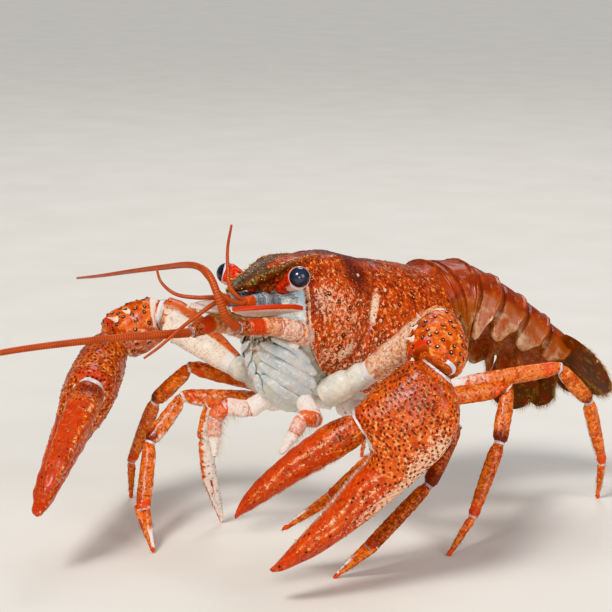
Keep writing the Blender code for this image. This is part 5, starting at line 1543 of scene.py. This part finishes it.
def legJoints(root, foot, lengths, swing, bends):
    upper, carpus, palm, finger = lengths
    flat, angle = [np.zeros(2)], 0.0
    for length, bend in ((carpus, 0), (palm, bends[0]), (finger, bends[1])):
        angle -= math.radians(bend)
        flat.append(flat[-1] + np.array((math.cos(angle), math.sin(angle))) * length)
    chord = np.linalg.norm(flat[-1])
    line = foot - root
    reach = np.linalg.norm(line)
    axis = line / reach
    side = unit(np.cross(axis, (0, 0, 1)))
    swing = math.radians(swing)
    rise = np.cross(side, axis) * math.cos(swing) + side * math.sin(swing)
    along = (upper**2 - chord**2 + reach**2) / (2 * reach)
    knee = root + axis * along + rise * math.sqrt(max(upper**2 - along**2, 0.01))
    run = unit(foot - knee)
    normal = unit(np.cross(axis, rise))
    bow = np.cross(normal, run)
    bow = bow if bow @ rise > 0 else -bow
    ahead = flat[-1] / chord
    beside = np.array((-ahead[1], ahead[0]))
    return [root] + [knee + run * (p @ ahead) + bow * (p @ beside) for p in flat], normal


def legSegment(path, form, normal, k, rows, columns, colours, seed, part, inward):
    grid, share = segmentGrid(path, form, normal, k, rows, columns)
    lift = 0.07 * ripple(grid, 1.8, seed) + 0.16 * bell(share - 0.93, 0.03)
    if part > 0:
        lift = lift - 0.2 * bell(share - 0.05, 0.03)
    grid = raised(grid, lift)
    white, shade = colours
    lower = step(0.1, 0.75, gridNormals(grid) @ inward)
    pale = white * lower * (0.8 + 0.3 * ripple(grid, 4.0, seed + 50))
    if part == 0:   # the upper part fades to white towards the body
        pale = pale + 0.95 * step(0.42, 0.3, share) + 0.5 * white * step(0.8, 0.45, share)
    if part == 2:   # short pale dashes across the shin
        pale = pale + 0.5 * white * bell(np.sin(share * 26 + 2 * ripple(grid, 6.0, seed)) - 1, 0.25) * lower
    if part == 4:
        pale = pale + 0.9 * step(0.3, 0.8, share) * (seed % 2)
    dark = shade + 0.3 * step(0.7, 0.95, share) * (part == 1) + 0.25 * (1 - lower) * (part < 3)
    bright = 0.6 * bell(share - 0.92, 0.06) + 0.35 * (part > 1)
    piece = gridPiece("legPart", grid, tones(grid, pale, dark, bright, step(0.15, 0.5, share)))
    soft = (share > 0.982) | ((share < 0.035) & (part > 0))
    if part == 0:
        soft = soft | ((share > 0.16) & (share < 0.215)) | ((share > 0.345) & (share < 0.375))
    markSoft(piece, grid, soft)
    storeBumps(piece, step(0.1, 0.2, share) * (1 - 0.5 * lower))
    return piece


def makeLeg(pair, word, sign):
    foot, lengths, swing, bends, *colours = legs["leg%d_%s" % (pair, word)]
    root = bodyPoint(mirrored(legs["roots"][pair], sign))
    joints, normal = legJoints(root, floorPoint(foot), lengths, swing, bends)
    pincer = pair < 4
    seed = 200 + pair * 10 + sign
    along = unit(joints[4] - joints[3])
    inward = unit((-sign * 0.7, 0.0, -0.7))
    palm = legs["pincerPalm" if pincer else "palm"]
    rows = [   # path, form, joint, rows, columns, part
        (joints, legs["upper"], 0, 90, 40, 0), (joints, legs["carpus"], 1, 44, 40, 1), (joints, palm, 2, 60, 40, 2),
    ]
    if pincer:
        spread = unit(np.cross(normal, along)) * legs["pincerSpread"]
        spread = -spread if spread[2] > 0 else spread
        for offset, lift in ((spread, 0.0), (-spread, 0.9)):
            start = joints[3] - along * 2.0 + offset * 0.8
            end = joints[4] + offset * (0.25 if lift else -0.2) - along * lift
            rows.append(([start, end], legs["pincerFinger"], 0, 50, 28, 4))
    else:
        rows.append((joints, legs["finger"], 3, 50, 28, 3))
    parts = []
    for i, (path, form, k, count, columns, part) in enumerate(rows):
        piece = legSegment(path, form, normal, k, count, columns, colours, seed + i, part, inward)
        hairs = legs["fingerHairs" if part > 2 else "segmentHairs"]
        bristles("legSetae", piece, along, seed + 5 + i, hairs, **legs["hairs"],
                 where=lambda at: step(1.6, 2.6, at[:, 2]))   # none reach the floor
        domed(piece, legs["domes"], seed + i, "leg")
        parts.append(softened(piece, "joint"))
    leg = joined("leg%d_%s" % (pair, word), parts)
    for vertex in leg.data.vertices:
        vertex.co.z = max(vertex.co.z, 0.0)   # the tip rests on a small flat
    place(leg, "limb", "leg%d_%s_upper" % (pair, word), "leg%d_%s_lower" % (pair, word))


for word, sign in sides:
    for pair in legs["roots"]:
        makeLeg(pair, word, sign)
print("legs made")


# Abdomen: six overlapping rings of shell with a pointed lobe at each side
abdomen = {
    "start": (0.6, 63.4, 22.1),
    "segments": (   # length, half width, arch height, depth of the lobe, pitch, yaw
        (6.5, 12.6, 10.0, 3.0, 33, 14), (9.0, 14.0, 11.0, 8.4, 6, 18), (9.5, 13.8, 10.6, 7.8, -22, 20),
        (9.5, 13.0, 9.8, 6.8, -28, 23), (9.0, 12.0, 9.0, 5.6, -31, 25), (10.0, 10.4, 8.0, 4.0, -34, 25),
    ),
    "form": (   # share along, swell, how far the lobe drops
        (0.0, 0.93, 0.35), (0.14, 0.96, 0.6), (0.3, 1.0, 0.95), (0.6, 1.0, 1.0), (0.85, 1.01, 0.55),
        (0.94, 1.03, 0.4), (1.0, 0.97, 0.35),
    ),
    "telsonPitch": -52, "belly": 1.25, "rows": 54, "columns": 150,
    "domes": (1.7, 0.14, 0.07, 0.35, 0.0),
    "hairs": {"count": 160, "length": 1.5, "radius": 0.03, "stand": 0.3, "sag": 0.0},
    "swimmeretHairs": {"count": 70, "length": 1.8, "radius": 0.03, "stand": 0.4, "sag": 0.0},
}


def tailFrames():
    segments = abdomen["segments"]
    directions = []
    for pitch, yaw in [row[-2:] for row in segments] + [(abdomen["telsonPitch"], segments[-1][-1])]:
        pitch, yaw = math.radians(pitch), math.radians(yaw)
        back = math.cos(pitch)
        directions.append(bodyVector((math.sin(yaw) * back, math.cos(yaw) * back, math.sin(pitch))))
    point = bodyPoint(abdomen["start"])
    level = bodyVector((1, 0, 0))
    frames = []
    for i, direction in enumerate(directions):
        along = direction if i == 0 else unit(direction + directions[i - 1])
        side = unit(level - along * (level @ along))
        frames.append((point, side, np.cross(side, along), along))
        if i < len(segments):
            point = point + direction * segments[i][0]
    return frames, directions[-1]


def between(first, second, share):
    rows = [np.asarray(a) * (1 - share) + np.asarray(b) * share for a, b in zip(first, second)]
    return [rows[0], *[unit(row) for row in rows[1:]]]


def makeTailRing(frames, i):
    a = abdomen
    half, arch, lobe = a["segments"][i][1:4]
    degrees = np.radians(np.arange(-100, 101, 20))
    shares = np.linspace(0.01 if i else -0.6, 0.995, a["rows"])   # the first reaches into the carapace
    rings = []
    for share in shares:
        swell, drop = smoothRow(a["form"], share)
        point, side, up = between(frames[i], frames[i + 1], share)[:3]
        h, r, d = half * swell, arch * swell, lobe * drop
        low, belly = -r * 1.1 - d, -r * a["belly"]
        outline = [(math.sin(angle), -r * (1 - math.cos(angle))) for angle in degrees]
        under = ((0.97, low), (0.84, low), (0.72, belly), (0.35, belly - 0.6))
        outline += [*under, *[(-x, z) for x, z in reversed(under)]]
        loop = smoothLoop(outline, a["columns"])
        rings.append(point + side * (loop[:, 0:1] * h) + up * loop[:, 1:2])
    grid = np.array(rings)
    share = shares[:, None]
    loop = np.broadcast_to(loop, grid.shape[:2] + (2,))
    upper = step(-arch * 1.3, -arch * 0.9, loop[..., 1])
    width = np.abs(loop[..., 0])
    lift = 0.12 * ripple(grid, 3.6, 300 + i) + 0.45 * bell(share - 0.93, 0.05) - 0.5 * bell(share - 0.2, 0.045)
    lift = lift * upper - 0.25 * bell(share - 1.0, 0.03)
    grid = raised(grid, lift)
    lobes = step(0.7, 0.95, width) * step(-arch * 0.5, -arch * 1.0, loop[..., 1])
    # painted highlights: pale streaks near the rear of each ring on its flank and along the edge of each side lobe
    paintedHighlightStreak = bell(share - 0.9, 0.035) * bell(width - 0.72, 0.14) + bell(share - 0.55, 0.05) * bell(width - 0.9, 0.05)
    lines = 0.5 + 0.5 * np.sin(loop[..., 1] * 2.6 + 2.0 * ripple(grid, 5.0, 320 + i))
    pale = 0.35 * (1 - upper) + 0.5 * paintedHighlightStreak + 0.22 * lobes * lines + 0.35 * bell(share - 0.975, 0.015) * upper
    dark = 0.5 * bell(share - 0.2, 0.08) + 0.25 * step(0.5, 0.0, width)
    hairy = lobes * step(-arch * 1.1, -arch * 1.3, loop[..., 1])
    tone = tones(grid, pale, dark * upper, 0.85 * lobes, hairy)
    piece = gridPiece("tailRing%d" % (i + 1), grid, tone)
    storeBumps(piece, upper * step(0.25, 0.3, share))
    bristles("tailSetae", piece, -frames[i][2] + frames[i][3] * 0.5, 310 + i, **a["hairs"])
    parts = [domed(piece, a["domes"], 23, "abdomen")]
    if 0 < i < 5:
        middle = between(frames[i], frames[i + 1], 0.5)
        parts += [swimmeret(middle, half, arch, sign, i) for sign in (1, -1)]
    place(joined("tailRing%d" % (i + 1), parts), "shell", "abdomen_%d" % (i + 1))


def swimmeret(frame, half, arch, sign, i):
    point, side, up, along = frame
    start = point + side * sign * half * 0.45 - up * (arch * abdomen["belly"] - 1.5)
    end = start + side * sign * 1.5 - up * 8.0 + along * 3.5
    share = np.linspace(0, 1, 24)
    wide, thick = smoothRow(((0.0, 1.0, 0.8), (0.3, 1.1, 0.8), (0.65, 1.4, 0.6), (1.0, 0.4, 0.3)), share).T
    grid = ovalRings(start + (end - start) * share[:, None], along, side, wide, thick, 20)
    tone = tones(grid, 0.4, 0, 0.4 * bell(share - 0.3, 0.2)[:, None], step(0.4, 0.8, share)[:, None])
    piece = gridPiece("swimmeret", grid, tone, "abdomen")
    bristles("tailSetae", piece, unit(end - start), 330 + i * 2 + sign, **abdomen["swimmeretHairs"])
    return piece


fan = {
    "telson": (16.5, 6.8, 5.8, 1.2),   # length, half width at the root and near the end, bow
    # length, half width, turn outwards, droop, roll, drop under the telson, start beside it
    "inner": (17.5, 5.8, 24, 3, 5, 2.6, 5.4), "outer": (18.0, 6.4, 44, 8, 10, 5.0, 8.2),
    "thickness": 1.0, "bow": 1.6,
    "split": {"telson": 0.62, "inner": 0.95, "outer": 0.7},   # how far along the cross groove is
    "form": ((0.0, 0.62), (0.15, 0.85), (0.4, 1.0), (0.65, 1.0), (0.85, 0.82), (0.95, 0.5), (1.0, 0.12)),
    "domes": (1.4, 0.13, 0.06, 0.3, 0.0),
    "hairs": {"count": 520, "length": 2.0, "radius": 0.03, "stand": 0.0, "sag": 0.0},
}


def fanBlade(name, start, frame, length, halfRoot, halfEnd, bow, seed, split):
    axis, side, up = frame
    share = np.linspace(0, 1, 90)
    half = (halfRoot * (1 - share) + halfEnd * share) * smoothRow(fan["form"], share)[:, 0]
    centres = start + axis * (length * share)[:, None] - up * (bow * share**2)[:, None]
    thin = fan["thickness"] / 2 * (1.25 - 0.55 * share)
    top = ((-1.0, 0.2), (-0.5, 0.8), (0.0, 1.5), (0.5, 0.8), (1.0, 0.2))
    under = ((1.0, -0.3), (0.5, -0.8), (0.0, -1.0), (-0.5, -0.8), (-1.0, -0.3))
    loop = smoothLoop((*top, *under), 100)
    x, z = loop[:, 0][None], loop[:, 1][None]
    s = share[:, None]
    upper = step(0, 0.4, z)
    ribs = 0.1 * np.cos(x * 9.0) * upper
    height = z * thin[:, None] + ribs - 0.12 * bell(s - split, 0.012) * upper
    grid = centres[:, None] + side * (x * half[:, None])[..., None] + up * height[..., None]
    rim = np.maximum(step(0.9, 1.0, np.abs(x)) * step(0.3, 0.5, s), step(0.93, 0.99, s))
    pale = 0.3 * bell(x, 0.1) + 0.4 * rim
    tone = tones(grid, pale, 0.35 * bell(s - split, 0.02), 0.5 * step(0.3, 0.0, s), rim)
    blade = gridPiece(name, grid, tone)
    storeBumps(blade, upper * (1 - rim))
    bristles("tailSetae", blade, lambda at: unit(at - start), seed, **fan["hairs"])
    domed(blade, fan["domes"], seed, "tailFan")
    rows = []
    middle = start + axis * length * split - up * bow * split**2
    for edge in (-1, 1):
        where = middle + side * edge * np.interp(split, share, half) * 0.97
        rows.append((where, axis + side * edge * 0.4, 1.0, 0.32))
    return joined(name, [blade, thorns("fanThorns", rows, "tailFan")])


def makeFan(frame, direction):
    point, side = frame[:2]
    up = unit(np.cross(side, direction))
    start = point - direction * 1.5 - up * 1.6
    frame = (direction, side, up)
    piece = fanBlade("tailMiddle", start, frame, *fan["telson"], seed=340, split=fan["split"]["telson"])
    place(piece, "shell", "telson")
    for word in ("inner", "outer"):
        length, half, turnOut, droop, roll, drop, beside = fan[word]
        for hand, sign in sides:
            axis, across = turned(direction, up, -sign * turnOut), turned(side, up, -sign * turnOut)
            dropped, top = turned(axis, across, -droop), turned(up, across, -droop)
            across, top = turned(across, axis, sign * roll), turned(top, axis, sign * roll)
            root = start + side * sign * beside - up * drop
            seed = 350 + sign + (10 if word == "inner" else 0)
            name = "tail%s_%s" % (word.capitalize(), hand)
            shape = (length, half, half * 0.9, fan["bow"])
            piece = fanBlade(name, root, (dropped, across, top), *shape, seed=seed, split=fan["split"][word])
            place(piece, "shell", "uropod_%s_%s" % (word, hand))


frames, last = tailFrames()
for i in range(len(abdomen["segments"])):
    makeTailRing(frames, i)
makeFan(frames[-1], last)
print("abdomen and tail fan made")


# Coats of bristles, one mesh for each kind
coatLooks = {   # material, spread
    "backSetae": ("darkSetae", 0.4), "headSetae": ("goldSetae", 0.25), "stemSetae": ("darkSetae", 0.2),
    "mouthSetae": ("paleSetae", 0.3), "clawSetae": ("paleSetae", 0.2), "legSetae": ("darkSetae", 0.35),
    "tailSetae": ("goldSetae", 0.15),
}
for i, (name, parts) in enumerate(coats.items()):
    places, aims, sizes, roots = [np.concatenate(column) for column in zip(*parts)]
    material, spread = coatLooks[name]
    coat = pointCloud(name, places, aims, sizes, roots)
    grown(coat, setae, {"Spread": spread, "Seed": 400 + i, "Material": materials[material]})
    place(coat, "limb")
    print(name, len(places), "bristles")


# Floor, lights and camera
studio = {
    # matt painted board: metres, its two shades, how fine they vary, and how matt it is
    "floorSize": 12.0, "floorColour": ("e8e5de", "dcd8cf"), "floorGrain": 30.0, "floorRough": 0.7,
    "target": (11.7, 27.6, 57.0), "azimuth": 43.41, "elevation": 12.0, "distance": 490.0,
    "lens": 117.0, "sensor": 36.0,
    "lamps": (   # name, azimuth, elevation, distance and size in metres, watts, colour
        ("key", 8.0, 46.0, 0.8, 0.3, 1.6, "fff6ea"), ("fill", 88.0, 26.0, 0.9, 0.5, 2.6, "f6f6ff"),
        ("rim", 215.0, 50.0, 0.9, 0.4, 1.6, "ffffff"), ("front", 46.0, 14.0, 1.0, 0.3, 1.7, "fff8ee"),
    ),
    # far away and even, so the floor stays pale to its far end
    "sun": {"azimuth": 14.0, "elevation": 50.0, "strength": 1.7, "degreesAcross": 14.0},
    "sky": 0.36, "skyColour": "f1f2f4",
    "colourScale": "Khronos PBR Neutral",   # keeps the reds of the shell, which the default washes out
}


def around(target, azimuth, elevation, distance):
    a, e = math.radians(azimuth), math.radians(elevation)
    back = Vector((math.sin(a) * math.cos(e), -math.cos(a) * math.cos(e), math.sin(e)))
    return Vector(target) + back * distance, back.to_track_quat("Z", "Y").to_euler()


def makeFloor():
    half = studio["floorSize"] / 2
    mesh = bpy.data.meshes.new("studioFloor")
    mesh.from_pydata([(-half, -half, 0), (half, -half, 0), (half, half, 0), (-half, half, 0)], [], [(0, 1, 2, 3)])
    material, tree, shader = newMaterial("paleFloor")
    grain = add(tree, "ShaderNodeTexNoise", {}, {
        "Vector": add(tree, "ShaderNodeTexCoord", out="Object"), "Scale": studio["floorGrain"], "Detail": 2.0,
    })
    first, second = studio["floorColour"]
    wire(tree, shader, {
        "Base Color": layered(tree, first, [(grain, second)]), "Roughness": studio["floorRough"],
    })
    mesh.materials.append(material)
    linked("studioFloor", mesh)


def makeStudio():
    target = Vector(studio["target"]) * mm
    for name, azimuth, elevation, distance, size, watts, code in studio["lamps"]:
        light = bpy.data.lights.new(name, "AREA")
        light.shape = "DISK"
        light.size = size
        light.energy = watts
        light.color = linear(code)[:3]
        lamp = linked(name, light)
        lamp.location, lamp.rotation_euler = around(target, azimuth, elevation, distance)
    sun = studio["sun"]
    light = bpy.data.lights.new("softSun", "SUN")
    light.energy, light.angle = sun["strength"], math.radians(sun["degreesAcross"])
    lamp = linked("softSun", light)
    lamp.location, lamp.rotation_euler = around(target, sun["azimuth"], sun["elevation"], 1.0)
    world = bpy.data.worlds.new("studioSky")
    world.use_nodes = True
    wire(world.node_tree, world.node_tree.nodes["Background"], {
        "Color": linear(studio["skyColour"]), "Strength": studio["sky"],
    })
    bpy.context.scene.world = world
    bpy.context.scene.view_settings.view_transform = studio["colourScale"]
    data = bpy.data.cameras.new("camera")
    data.lens = studio["lens"]
    data.sensor_width = studio["sensor"]
    data.clip_start = 0.01
    camera = linked("camera", data)
    camera.location, camera.rotation_euler = around(
        target, studio["azimuth"], studio["elevation"], studio["distance"] * mm,
    )
    bpy.context.scene.camera = camera


makeFloor()
makeStudio()
print("done")
